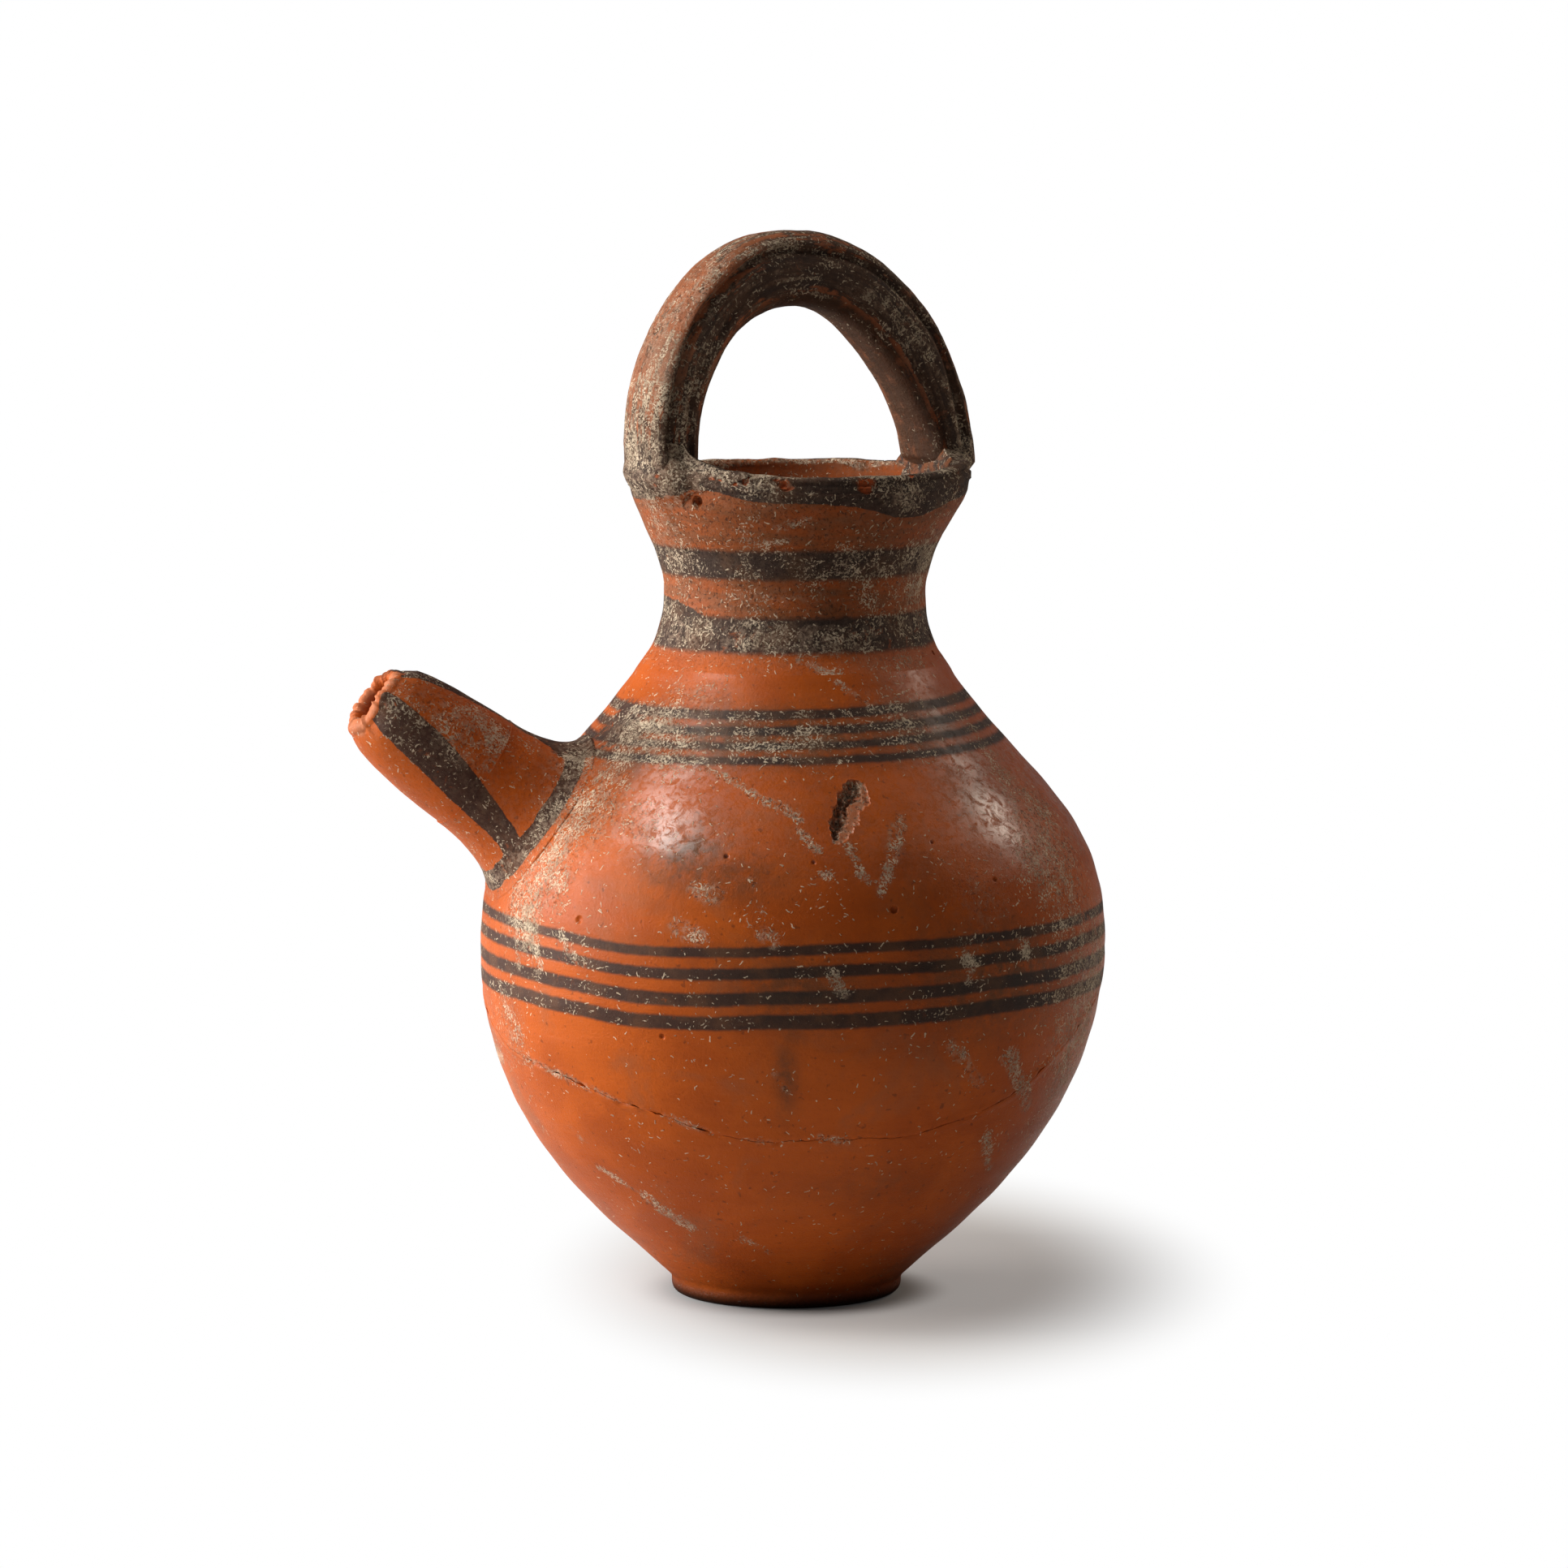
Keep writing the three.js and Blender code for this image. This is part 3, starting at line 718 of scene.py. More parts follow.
    if polished:
        rising, fading = sheen_heights
        sheen = ramp(height, *rising) * ramp(height, *fading, 1.0, 0.25) * ramp(crust, 0.12, 0.42, 1.0, 0.15)
        sheen = sheen * ramp(noise(place, 0.5, 6, 0.76, 0.8), 0.40, 0.58, 0.06, 1.15)
        sheen = sheen * (1 - specks["Mask"] * 0.8) * (1 - inside) * (1 - covered * 0.6)
        (sheen * polished).to(shader["Coat Weight"])
        shader["Coat Roughness"].default_value = 0.30
    rough = base["Grain"] * 0.2 + (gloss - 0.1) + covered * 0.16 + specks["Mask"] * 0.4 + inside * 0.35
    rough = rough + ramp(height, *neck_rough, 0.0, 0.2) - smoke * 0.08
    rough.step("MINIMUM", 0.95).to(shader["Roughness"])
    surface = base["Grain"] * coarse + noise(place, 4.5, 3, 0.7) * (coarse * 0.4)
    surface = surface + specks["Height"] * 0.17 - pores * 0.12
    bump = add(tree, "ShaderNodeBump", {"Height": surface * mm, "Distance": 1.0, "Strength": 1.0})
    bump["Normal"].to(shader["Normal"])
    shader["Specular IOR Level"].default_value = 0.11
    return material


belly_bands = ((64.4, 67.4), (69.3, 72.1), (74.6, 77.0), (79.1, 81.2))
shoulder_bands = ((115.0, 116.6), (117.8, 119.3), (120.5, 122.2), (123.4, 125.3))
belly_tilt = 0.0225
skin_depth = 1.5
crumbled_reach = 1.1
seam_reach = 2.2
inside_crust = 0.3
# Paint that pooled on the shoulder above the spout: azimuth, height, reach round and up, strength.
pooled_paint = (-163, 120.5, 16, 5.5, 0.85)
body_clay = clay_finish("burnished red slip", (*belly_bands, *shoulder_bands), belly_tilt, polished=0.9)


def sherd(name, outer, inner, rows_out, loop):
    """A sherd of the thrown body from the rows of its outside, its broken or seat faces and its inside."""
    piece = clay_mesh(name, hand_made(np.concatenate([outer, *rows_out, inner])), loop)
    points = corners_of(piece)
    radius = np.hypot(points[:, 0], points[:, 1])
    wall = np.interp(points[:, 2], climb[:, 1], climb[:, 0])
    deep = limited((wall - radius - skin_depth) / skin_depth) * (points[:, 2] > foot_edge[1])
    keep_value(piece, "inside", deep)
    azimuth = azimuth_of(points)
    from_break = np.abs(points[:, 2] - break_at(np.radians(azimuth))) / crumbled_reach
    residue = 0.5 + 0.5 * ragged(np.radians(azimuth), 46, 21)
    residue = residue * (0.25 + 0.75 * hump(turned_from(azimuth, -145) / 34))
    crust = np.maximum(crust_on(points), residue * hump(from_break))
    keep_value(piece, "crust", np.where(deep > 0.5, inside_crust, crust))
    still = np.maximum(hump(from_break / 1.3, 4), hump((points[:, 2] - shoulder_height) / seam_reach, 4))
    keep_value(piece, "steady", np.maximum(still, limited(1.3 - points[:, 2] / 3)))
    keep_value(piece, "smoke", fields_at(points, smoke_clouds) * (1 - deep))
    keep_value(piece, "paint", fields_at(points, [pooled_paint]) * (1 - deep))
    return piece


def edge_wear(away, azimuth, seed):
    """How far the rim of the break is worn back, at a distance from it."""
    left = hump(turned_from(np.degrees(azimuth), -152) / 16)
    chips = limited(ragged(azimuth, 210, seed) * 1.6 - 0.75 + 0.5 * left)
    return 0.05 * hump(away / 0.3) + 0.5 * chips * hump(away / 0.7)


def wall_rows(outline, ends, rows, thinning, seed):
    """Rows of the wall from a pole or seat to the break, closer together near the break."""
    share = np.linspace(0, 1, rows)[:, None]
    start, stop = ends
    away = (1 - share) ** thinning * np.abs(stop - start)
    along = stop - np.sign(stop - start) * away
    profile = point_at(outline, along)
    worn = edge_wear(away, azimuths[None, :], seed)
    slope = point_at(outline, along + 0.2) - point_at(outline, along - 0.2)
    slope /= np.linalg.norm(slope, axis=-1, keepdims=True)
    profile[..., 0] -= worn * slope[..., 1]
    profile[..., 1] += worn * slope[..., 0]
    return swept(profile, azimuths[None, :])


def break_face(outer_row, inner_row, seed):
    """The broken wall between the outer and the inner edge, a little coarse."""
    share = np.linspace(0, 1, 8)[1:-1, None, None]
    face = outer_row * (1 - share) + inner_row * share
    face[..., 2] += 0.18 * ragged(azimuths[None, :] + share[..., 0] * 2, 240, seed)
    return face


lower_break = break_at(azimuths) - break_gap / 2
outer = wall_rows(body_outside, (0, length_at(body_outside, lower_break)), outside_rows, 1.25, 31)
inner = wall_rows(body_inside, (0, length_at(body_inside, lower_break)), inside_rows, 1.1, 32)
lower_sherd = sherd("lower_body", outer, inner[::-1], [break_face(outer[-1], inner[-1], 41)], False)

# The string that cut the jug off the wheel left arcs in the underside of the foot.
string_start = (-26, 9)
string_pitch = 1.9
points = corners_of(lower_sherd)
under = (points[:, 2] < 0.05) & (np.hypot(points[:, 0], points[:, 1]) < foot_radius + 1.5)
arc = np.hypot(points[:, 0] - string_start[0], (points[:, 1] - string_start[1]) * 1.15)
from_edge = limited((foot_radius - 1 - np.hypot(points[:, 0] + 1.3, points[:, 1])) / 3)
points[:, 2] += np.where(under, from_edge * (0.18 + 0.16 * np.sin(arc * math.tau / string_pitch)), 0)
set_corners(lower_sherd, points)
keep_value(lower_sherd, "bare", np.where(under, 0.9, 0))
body_relief = dict(ring_pitch=8.5, ring_depth=0.10, swell_size=30, swell_depth=0.45, grain_size=2.2,
                   grain_depth=0.05, pit_spacing=11, pit_radius=0.7, pit_depth=0.18)
finished(lower_sherd, body_clay, **body_relief)
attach(lower_sherd, "root")
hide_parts("lower_body_sherd")


# Upper part of the body, from the crack to the seat of the neck. It is one wall with the lower part, painted
# with four thin bands on the belly and four on the shoulder while the jug turned slowly. A gouge and a few
# pits show the bright clay under the slip.
upper_break = break_at(azimuths) + break_gap / 2
top = lengths(body_outside)[-1]
inner_top = lengths(body_inside)[-1]
upper_rows = 140
outer = wall_rows(body_outside, (top, length_at(body_outside, upper_break)), upper_rows, 1.2, 33)
inner = wall_rows(body_inside, (inner_top, length_at(body_inside, upper_break)), inside_rows, 1.1, 34)
seat_share = np.linspace(0, 1, 5)[1:-1, None, None]
seat_rows = inner[0] * (1 - seat_share) + outer[0] * seat_share
faces = [break_face(outer[-1], inner[-1], 42)]
upper_sherd = sherd("upper_body", outer, np.concatenate([inner[::-1], seat_rows]), faces, True)

# The gouge from its top to its foot: azimuth, height and half its width.
gouge = ((-89.6, 111.5, 1.0), (-90.8, 109.4, 1.9), (-92.4, 107.0, 1.5), (-94.0, 104.4, 1.9),
         (-95.2, 102.7, 1.3))
gouge_depth = 1.5
flake = ((-88.8, 111.0, 1.4), (-89.8, 108.4, 2.1), (-91.9, 105.0, 2.0), (-93.6, 102.6, 1.8),
         (-94.9, 101.6, 1.1))
flake_depth = 0.35
# Pits: azimuth, height, radius and depth.
body_pits = ((-85.4, 87.7, 0.85, 0.8), (-117, 98, 0.5, 0.5), (-128, 62, 0.6, 0.4), (-100, 97, 0.4, 0.4),
             (-146, 84, 0.9, 0.4), (-63, 92, 0.5, 0.4), (-75, 100, 0.4, 0.4), (70, 95, 0.9, 0.8),
             (20, 105, 0.7, 0.7), (120, 90, 1.0, 0.9), (150, 112, 0.6, 0.6))


def refined(piece, places, reach, cuts=3):
    """Closer corners round small hollows, so that their edges are crisp."""
    work = bmesh.new()
    work.from_mesh(piece.data)
    edges = [edge for edge in work.edges
             if min(((edge.verts[0].co / mm) - Vector(place)).length for place in places) < reach]
    bmesh.ops.subdivide_edges(work, edges=edges, cuts=cuts, use_grid_fill=True)
    bmesh.ops.triangulate(work, faces=[face for face in work.faces if len(face.verts) > 4])
    work.to_mesh(piece.data)
    work.free()


def hollowed(piece, depths):
    """Sinks the corners of the piece along their normals by so many millimetres."""
    set_corners(piece, corners_of(piece) - read_corners(piece, "normal") * depths[:, None])


def within_scar(points, course):
    """How far inside a scar each place lies: above 0 within its edge, along a course of varying width."""
    deepest = np.full(len(points), -9.0)
    for (azimuth, up, half), (next_azimuth, next_up, next_half) in zip(course, course[1:]):
        start, end = on_wall(azimuth, up), on_wall(next_azimuth, next_up)
        share = limited((points - start) @ (end - start) / ((end - start) @ (end - start)))
        away = np.linalg.norm(points - start - share[:, None] * (end - start), axis=1)
        deepest = np.maximum(deepest, half + (next_half - half) * share - away)
    return deepest


scar_places = [on_wall(azimuth, up) for azimuth, up, _ in (*gouge, *flake)]
refined(upper_sherd, scar_places, 4.0)
refined(upper_sherd, [on_wall(azimuth, up) for azimuth, up, _, _ in body_pits], 2.0)
points = corners_of(upper_sherd)
outside = np.hypot(points[:, 0], points[:, 1]) > np.interp(points[:, 2], climb[:, 1], climb[:, 0]) - 2
ragged_points = points + 0.75 * wandering(points, 2.0, 91) + 0.4 * wandering(points, 0.8, 92)
core = limited((within_scar(ragged_points, gouge) + 0.1) / 0.7) * outside
flaked = limited((within_scar(ragged_points, flake) + 0.1) / 0.25) * outside
lumps = 1 + 0.4 * wandering(points, 1.1, 93)[:, 0] + 0.25 * wandering(points, 0.5, 94)[:, 1]
depths = np.maximum(gouge_depth * core * np.clip(lumps, 0.35, 1.4), flake_depth * flaked)
for azimuth, up, radius, depth in body_pits:
    away = np.linalg.norm(points - on_wall(azimuth, up), axis=1)
    depths = np.maximum(depths, outside * depth * limited((radius - away) / (0.6 * radius)))
hollowed(upper_sherd, depths)
kept_crust = upper_sherd.data.attributes["crust"].data
for corner in np.flatnonzero(flaked + core > 0.3):
    kept_crust[corner].value = 0.62 if core[corner] > 0.3 else 0.42
keep_value(upper_sherd, "bare", np.maximum(flaked, core))
keep_value(upper_sherd, "hollow", core)
finished(upper_sherd, body_clay, **body_relief)


def drilled(piece, drill):
    """Cuts the drill's shape out of the piece."""
    cut = piece.modifiers.new("hole", "BOOLEAN")
    cut.operation = "DIFFERENCE"
    cut.solver = "MANIFOLD"
    cut.object = drill
    drill.data.materials.append(piece.data.materials[0])
    finished(piece)
    bpy.data.objects.remove(drill)


spout_height = 102.2
spout_elevation = math.radians(36)
spout_foot = np.array([-np.interp(spout_height, climb[:, 1], climb[:, 0]), 0, spout_height])
spout_way = np.array([-math.cos(spout_elevation), 0, math.sin(spout_elevation)])
spout_up = np.array([math.sin(spout_elevation), 0, math.cos(spout_elevation)])
spout_side = np.cross(spout_up, spout_way)
spigot_radius = 11
spigot_gap = 0.3


def round_spout(out, radius, angles):
    """Points round the axis of the spout, so far out from the wall and so far from the axis."""
    out, radius = np.broadcast_arrays(np.asarray(out, float), np.asarray(radius, float))
    ring = np.cos(angles)[..., None] * spout_side + np.sin(angles)[..., None] * spout_up
    return spout_foot + out[..., None] * spout_way + radius[..., None] * ring


drill_columns = 64
drill_angles = np.arange(drill_columns) * math.tau / drill_columns
drill_from, drill_to = -25, 12
drill_course = ((drill_from, 0), (drill_from, spigot_radius), (drill_to, spigot_radius), (drill_to, 0))
drill_rows = [round_spout(out, radius, drill_angles) for out, radius in drill_course]
drilled(upper_sherd, clay_mesh("drill", np.stack(drill_rows), False))
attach(upper_sherd, "root")
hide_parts("upper_body_sherd")


# Neck and rim. Thrown by itself, set on the shoulder and smoothed over the seam. It narrows to its waist and
# flares to a thick lip with a groove cut under it. Two broad bands circle it, and dark paint covers the lip.
waist_radius = 27.1
waist_height = 14.3
waist_wall = 4.4
lip_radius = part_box("neck_and_rim")[1].x / mm
lip_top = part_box("neck_and_rim")[1].z / mm
lip_thickness = 3.8
lip_band = 3.6
lip_step = 0.5
lip_groove = 0.6
# How the curves of the neck bend, as shares of their height.
root_share = (0.25, 0.74)
waist_share = 0.4
flare_start = 0.36
flare_end = (0.32, 0.22)
waist = shoulder_height + waist_height
lip_under = lip_top - lip_band - lip_groove
flare = lip_under - waist
root_drift = waist_height * root_share[0] * root_share[1]
flare_drift = flare * flare_end[0] * flare_end[1]
lip_round = lip_thickness / 2
lip_inner = lip_radius - lip_thickness
inside_waist = waist_radius - waist_wall
neck_outside = joined(
    bezier(
        (shoulder_radius, shoulder_height),
        (shoulder_radius - root_drift, shoulder_height + waist_height * root_share[0]),
        (waist_radius, waist - waist_height * waist_share),
        (waist_radius, waist),
    ),
    bezier(
        (waist_radius, waist),
        (waist_radius, waist + flare * flare_start),
        (lip_radius - lip_step - flare_drift, lip_under - flare * flare_end[0]),
        (lip_radius - lip_step, lip_under),
    ),
)
lip_outline = joined(
    bezier(
        (lip_radius - lip_step, lip_under),
        (lip_radius - lip_step, lip_under + 0.3),
        (lip_radius, lip_under + 0.4),
        (lip_radius, lip_under + lip_groove),
        12,
    ),
    (lip_radius, lip_top - lip_round),
    bezier(
        (lip_radius, lip_top - lip_round),
        (lip_radius, lip_top - lip_round / 3),
        (lip_radius - lip_round / 3, lip_top),
        (lip_radius - lip_round, lip_top),
        16,
    ),
    bezier(
        (lip_radius - lip_round, lip_top),
        (lip_inner + lip_round / 3, lip_top),
        (lip_inner, lip_top - lip_round / 3),
        (lip_inner, lip_top - lip_round),
        16,
    ),
)
neck_inside = joined(
    bezier(
        (lip_inner, lip_top - lip_round),
        (lip_inner - flare_drift, lip_top - lip_round - flare * flare_end[0]),
        (inside_waist, waist + flare * flare_start),
        (inside_waist, waist),
    ),
    bezier(
        (inside_waist, waist),
        (inside_waist, waist - waist_height * waist_share),
        (body_seat[0] - root_drift, body_seat[1] + waist_height * root_share[0]),
        body_seat,
    ),
)


def spread_rows(outline, rows):
    """Rows at even steps along an outline."""
    return point_at(outline, np.linspace(0, lengths(outline)[-1], rows))


neck_columns = 400
neck_azimuths = np.arange(neck_columns) * math.tau / neck_columns
neck_turn = np.degrees(neck_azimuths)
neck_profile = np.concatenate([
    spread_rows(neck_outside, 88)[:-1],
    spread_rows(lip_outline, 44)[:-1],
    spread_rows(neck_inside, 50)[:-1],
    spread_rows(joined(body_seat, (shoulder_radius, shoulder_height)), 6)[:-1],
])
neck_rings = swept(neck_profile[:, None, :], neck_azimuths[None, :])
near_lip = limited((neck_rings[..., 2] - lip_under + 3) / 4)
lip_line = hump((neck_rings[..., 2] - lip_top + 1.45 + 0.25 * ragged(neck_azimuths, 7, 55)) / 0.42)
lip_line *= 0.8 * (0.7 + 0.3 * ragged(neck_azimuths, 13, 56))
lip_line *= np.hypot(neck_rings[..., 0], neck_rings[..., 1]) > lip_radius - 1
lip_wave = 0.30 * ragged(neck_azimuths, 11, 51) + 0.16 * ragged(neck_azimuths, 60, 52) - 0.3
lip_wave += 1.5 * hump(turned_from(neck_turn, -140) / 20) + 1.2 * hump(turned_from(neck_turn, -20) / 15)
neck_rings[..., 2] += near_lip * lip_wave
pushed_from = 158
pushed = limited((neck_rings[..., 2] - pushed_from) / 9)
lip_pushed = 1.7 * hump(turned_from(neck_turn, -10) / 25, 4) * pushed
lip_dents = 0.22 * near_lip * (ragged(neck_azimuths, 17, 53) - 1)
outward = np.stack([np.cos(neck_azimuths), np.sin(neck_azimuths), 0 * neck_azimuths], axis=-1)
neck_rings += (lip_dents - lip_line + lip_pushed)[..., None] * outward
neck = clay_mesh("neck", hand_made(neck_rings), True)

# Chips of the rim and pits: azimuth, height, radius and depth.
chips = ((-107, 170.0, 1.7, 0.55), (-78.5, 169.8, 2.3, 0.6), (-125.5, 170.2, 1.0, 0.4),
         (-121, 169.6, 0.8, 0.3), (-60, 171.5, 0.8, 0.4), (-120, 171.6, 1.0, 0.4), (40, 171.4, 1.5, 0.7),
         (95, 170.5, 1.8, 0.6))
neck_pits = ((-139.5, 166.1, 1.35, 1.5), (-158, 165.0, 0.6, 0.6), (-24, 137.0, 0.5, 0.6),
             (-30, 134.0, 0.5, 0.6), (-20, 132.6, 0.4, 0.5), (-152, 155.5, 0.6, 0.5), (60, 150.0, 0.8, 0.7))


def on_neck(azimuth, height):
    """The point on the outside of the neck or lip at an azimuth in degrees and a height."""
    return on_wall(azimuth, height, joined(neck_outside, lip_outline[: len(lip_outline) // 2]))


refined(neck, [on_neck(azimuth, up) for azimuth, up, _, _ in (*chips, *neck_pits)], 3.0, 2)
points = corners_of(neck)
radius = np.hypot(points[:, 0], points[:, 1])
outer_radius = np.interp(points[:, 2], neck_outside[:, 1], neck_outside[:, 0])
outside = (radius > outer_radius - 1.6) | (points[:, 2] > lip_under)
depths = np.zeros(len(points))
bare = np.zeros(len(points))
ragged_points = points + 0.55 * wandering(points, 1.8, 95) + 0.25 * wandering(points, 0.8, 96)
for azimuth, up, size, depth in (*chips, *neck_pits):
    chipped = (azimuth, up, size, depth) in chips
    away = (ragged_points if chipped else points) - on_neck(azimuth, up)
    away = np.linalg.norm(away * ((0.8, 0.8, 1.35) if chipped else (1, 1, 1)), axis=1)
    dent = limited((size - away) / (0.45 * size))
    depths = np.maximum(depths, outside * dent * depth)
    if chipped:
        bare = np.maximum(bare, dent)
hollowed(neck, depths)
keep_value(neck, "bare", bare)
mouth = limited((outer_radius - radius - 1.4) / 1.2) * (radius < lip_inner + 1.0)
keep_value(neck, "inside", mouth)
azimuth = azimuth_of(points)
thinnest_neck_crust = 0.245
# Broad stretches of crust on the neck, and then its scars, both as on the body.
neck_fields = (
    (-35, 150, 26, 16, 0.50),
    (-156, 139, 30, 5, 0.46),
    (-105, 138.5, 60, 5, 0.46),
    (-105, 147, 60, 3, 0.32),
    (-165, 158, 20, 10, 0.35),
    (-62, 167, 14, 4, 0.50),
    (-122, 170, 24, 2.5, 0.42),
    (40, 145, 40, 14, 0.5),
    (140, 155, 40, 14, 0.55),
)
neck_marks = (
    ((-101, 134.6), (-93, 132.2), 1.0, 1.0),
    ((-93, 132.2), (-78, 129), 0.9, 0.9),
    ((-110, 161), (-98, 163), 1.0, 0.9),
    ((-116, 158), (-106, 158.4), 0.8, 0.8),
)
crust = np.maximum(crust_on(points), thinnest_neck_crust)
crust = np.maximum(crust, fields_at(points, neck_fields))
crust = np.maximum(crust, marks_at(points, neck_marks, on_neck))
on_edge = hump((points[:, 2] - lip_top) / 0.7)
crust = np.maximum(crust, 0.8 * on_edge * (0.5 + 0.5 * ragged(np.radians(azimuth), 40, 57)))
dirt_line = lip_top - 2.4 - 0.8 * ragged(np.radians(azimuth), 30, 58)
dirty_edge = 0.62 * limited((points[:, 2] - dirt_line) / 0.8)
keep_value(neck, "crust", np.where(mouth > 0.5, np.maximum(0.24, dirty_edge), crust))
keep_value(neck, "hollow", mouth * np.clip(0.3 + dirty_edge, 0, 0.9))

rim_paint_height = 166.2
# Where the edge of the rim's paint dips or climbs: azimuth, reach round, and how far up.
paint_runs = ((-58, 20, -3.6), (178, 16, -0.7), (-136, 14, 2.3))
fuller_band_foot = 136.5
fuller_band_top = 142.2


def rim_paint_edge(azimuth):
    """The height down to which the dark paint of the lip runs, at an azimuth in degrees."""
    return rim_paint_height + sum(
        size * hump(turned_from(azimuth, middle) / reach) for middle, reach, size in paint_runs
    )


rim_paint = limited((points[:, 2] - rim_paint_edge(azimuth)) / 0.8 + 0.5) * (1 - mouth)
fuller = 3.2 * limited((42 - np.abs(turned_from(azimuth, -182))) / 30)
fuller_band = limited((fuller_band_top + fuller - points[:, 2]) / 1.8 + 0.5)
fuller_band = fuller_band * limited((points[:, 2] - fuller_band_foot) / 1.2)
keep_value(neck, "rim_paint", np.maximum(rim_paint, fuller_band * limited(fuller)))
keep_value(neck, "steady", hump((points[:, 2] - shoulder_height) / seam_reach, 4))
neck_bands = ((135.4, 142.6), (150.3, 156.5))
neck_clay = clay_finish("matt slip of the neck", neck_bands, 0.004, paint="rim_paint", coarse=0.2, aged=0.74,
                        bare_color=(0.50, 0.10, 0.025, 1), softness=0.7)
finished(neck, neck_clay, ring_pitch=7, ring_depth=0.10, swell_size=16, swell_depth=0.35, grain_size=1.8,
         grain_depth=0.10, pit_spacing=7, pit_radius=0.6, pit_depth=0.22)
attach(neck, "root")
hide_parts("neck_and_rim")


# Basket handle. A thick strap of clay rolled by hand, bent in an arch over the mouth and pressed down
# astride the rim. Folding it left a crease along each side. It was painted dark, and use and burial have
# worn the outside of it down to the pale clay.
handle_yaw = math.radians(18)
handle_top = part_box("basket_handle")[1].z / mm
crown_thickness = 16
handle_rise = handle_top - crown_thickness / 2 - lip_top
handle_width = 16
limb_thickness = 12
crown_lean = 3
handle_offset = 1.5
arch_pinch = 0.12
arch_fullness = 0.88
foot_spread = 0.7
foot_width = 17.5
foot_drop = 15
foot_wide_share = 0.35
lip_middle = lip_radius - lip_thickness / 2
strap_stations = 330
strap_columns = 120
leg_share = 0.1


def strap_middle(share):
    """Middle of the strap in the handle's own plane, its thickness and its width, at shares of its length."""
    angle = np.pi * limited((share - leg_share) / (1 - 2 * leg_share))
    down = limited(np.maximum(leg_share - share, share - 1 + leg_share) / leg_share)
    lift, side = np.sin(angle), np.cos(angle)
    pinch = 1 - arch_pinch * lift * lift
    height = lip_top + handle_rise * lift - foot_drop * down
    wall = np.interp(height, neck_outside[:, 1], neck_outside[:, 0]) - waist_wall / 2
    sign = np.where(side >= 0, 1, -1)
    wall = np.where(height < lip_under, wall, lip_middle - 0.6)
    spread = lip_middle + foot_spread
    arch = spread * sign * np.abs(side) ** arch_fullness * pinch
    reach = np.where(down > 0, sign * (spread + (wall - spread) * limited(down * 2.5)), arch)
    reach = reach + handle_offset * (1 - down) - crown_lean * lift
    thickness = limb_thickness + (crown_thickness - limb_thickness) * lift
    thickness += 1.3 * hump((share - 0.26) / 0.09) - 0.9 * hump((share - 0.70) / 0.08)
    end_thickness = waist_wall - 0.6
    tongue = end_thickness + (limb_thickness - end_thickness) * (1 - down) ** 3.5
    thickness = np.where(down > 0, tongue, thickness)
    width = foot_width + (handle_width - foot_width) * limited(lift / foot_wide_share)
    width = width * (1 - 0.45 * down)
    return np.stack([reach, height], axis=-1), thickness, width


shares = np.linspace(0, 1, strap_stations)
middle, thickness, width = strap_middle(shares)
along = np.gradient(middle, axis=0)
smooth_over = 9
smooth = np.ones(smooth_over) / smooth_over
padding = smooth_over // 2
along = np.stack([np.convolve(np.pad(part, padding, "edge"), smooth, "valid") for part in along.T], axis=-1)
along /= np.linalg.norm(along, axis=1, keepdims=True)
way_out = np.stack([along[:, 1], -along[:, 0]], axis=-1)
section = np.arange(strap_columns) * math.tau / strap_columns
squareness = 2 / 3
out = np.sign(np.cos(section)) * np.abs(np.cos(section)) ** squareness
across = np.sign(np.sin(section)) * np.abs(np.sin(section)) ** squareness
out_mm = out[None, :] * thickness[:, None] / 2
across_mm = across[None, :] * width[:, None] / 2
from_back = thickness[:, None] / 2 - out_mm
side_face = limited((np.abs(across[None, :]) - 0.55) / 0.25)
wander = 0.35 * np.sin(shares * 17)[:, None] + 0.2 * np.sin(shares * 41 + 1)[:, None]

# The crease of the fold along each side of the strap, two finer ones that start further on, and the rolled
# edge of its back.
crease = 1.5 * hump((from_back - 3.9 - wander) / 0.75)
crease += 0.35 * hump((from_back - 5.4 - 1.3 * wander) / 0.5) * limited((shares - 0.3) * 6)[:, None]
crease += 0.6 * hump((from_back - 8.6 + wander) / 0.8) * limited((shares - 0.56) * 9)[:, None]
crease *= side_face * limited(np.sin(np.pi * shares) * 3 - 0.25)[:, None]
back_roll = 0.35 * hump((from_back - 1.2) / 1.6) * side_face
across_mm = across_mm * (1 - (crease - back_roll) / (width[:, None] / 2))
reach = middle[:, 0, None] + way_out[:, 0, None] * out_mm
height = middle[:, 1, None] + way_out[:, 1, None] * out_mm
turn_to_handle = np.array(
    [[math.cos(handle_yaw), math.sin(handle_yaw)], [-math.sin(handle_yaw), math.cos(handle_yaw)]]
)
flat = np.stack([reach, across_mm], axis=-1) @ turn_to_handle
strap_rows = np.concatenate([flat, height[..., None]], axis=-1)


def with_poles(grid):
    """Rows of points with the middle of the first and of the last row added as poles."""
    first, last = (np.broadcast_to(row.mean(axis=0), row.shape)[None] for row in (grid[0], grid[-1]))
    return np.concatenate([first, grid, last])


handle = clay_mesh("basket_handle_clay", hand_made(with_poles(strap_rows)), False)


def per_corner(values):
    """Values of a piece with poles, in the order of its corners."""
    return np.concatenate([values.ravel(), values[0, :1], values[-1, :1]])
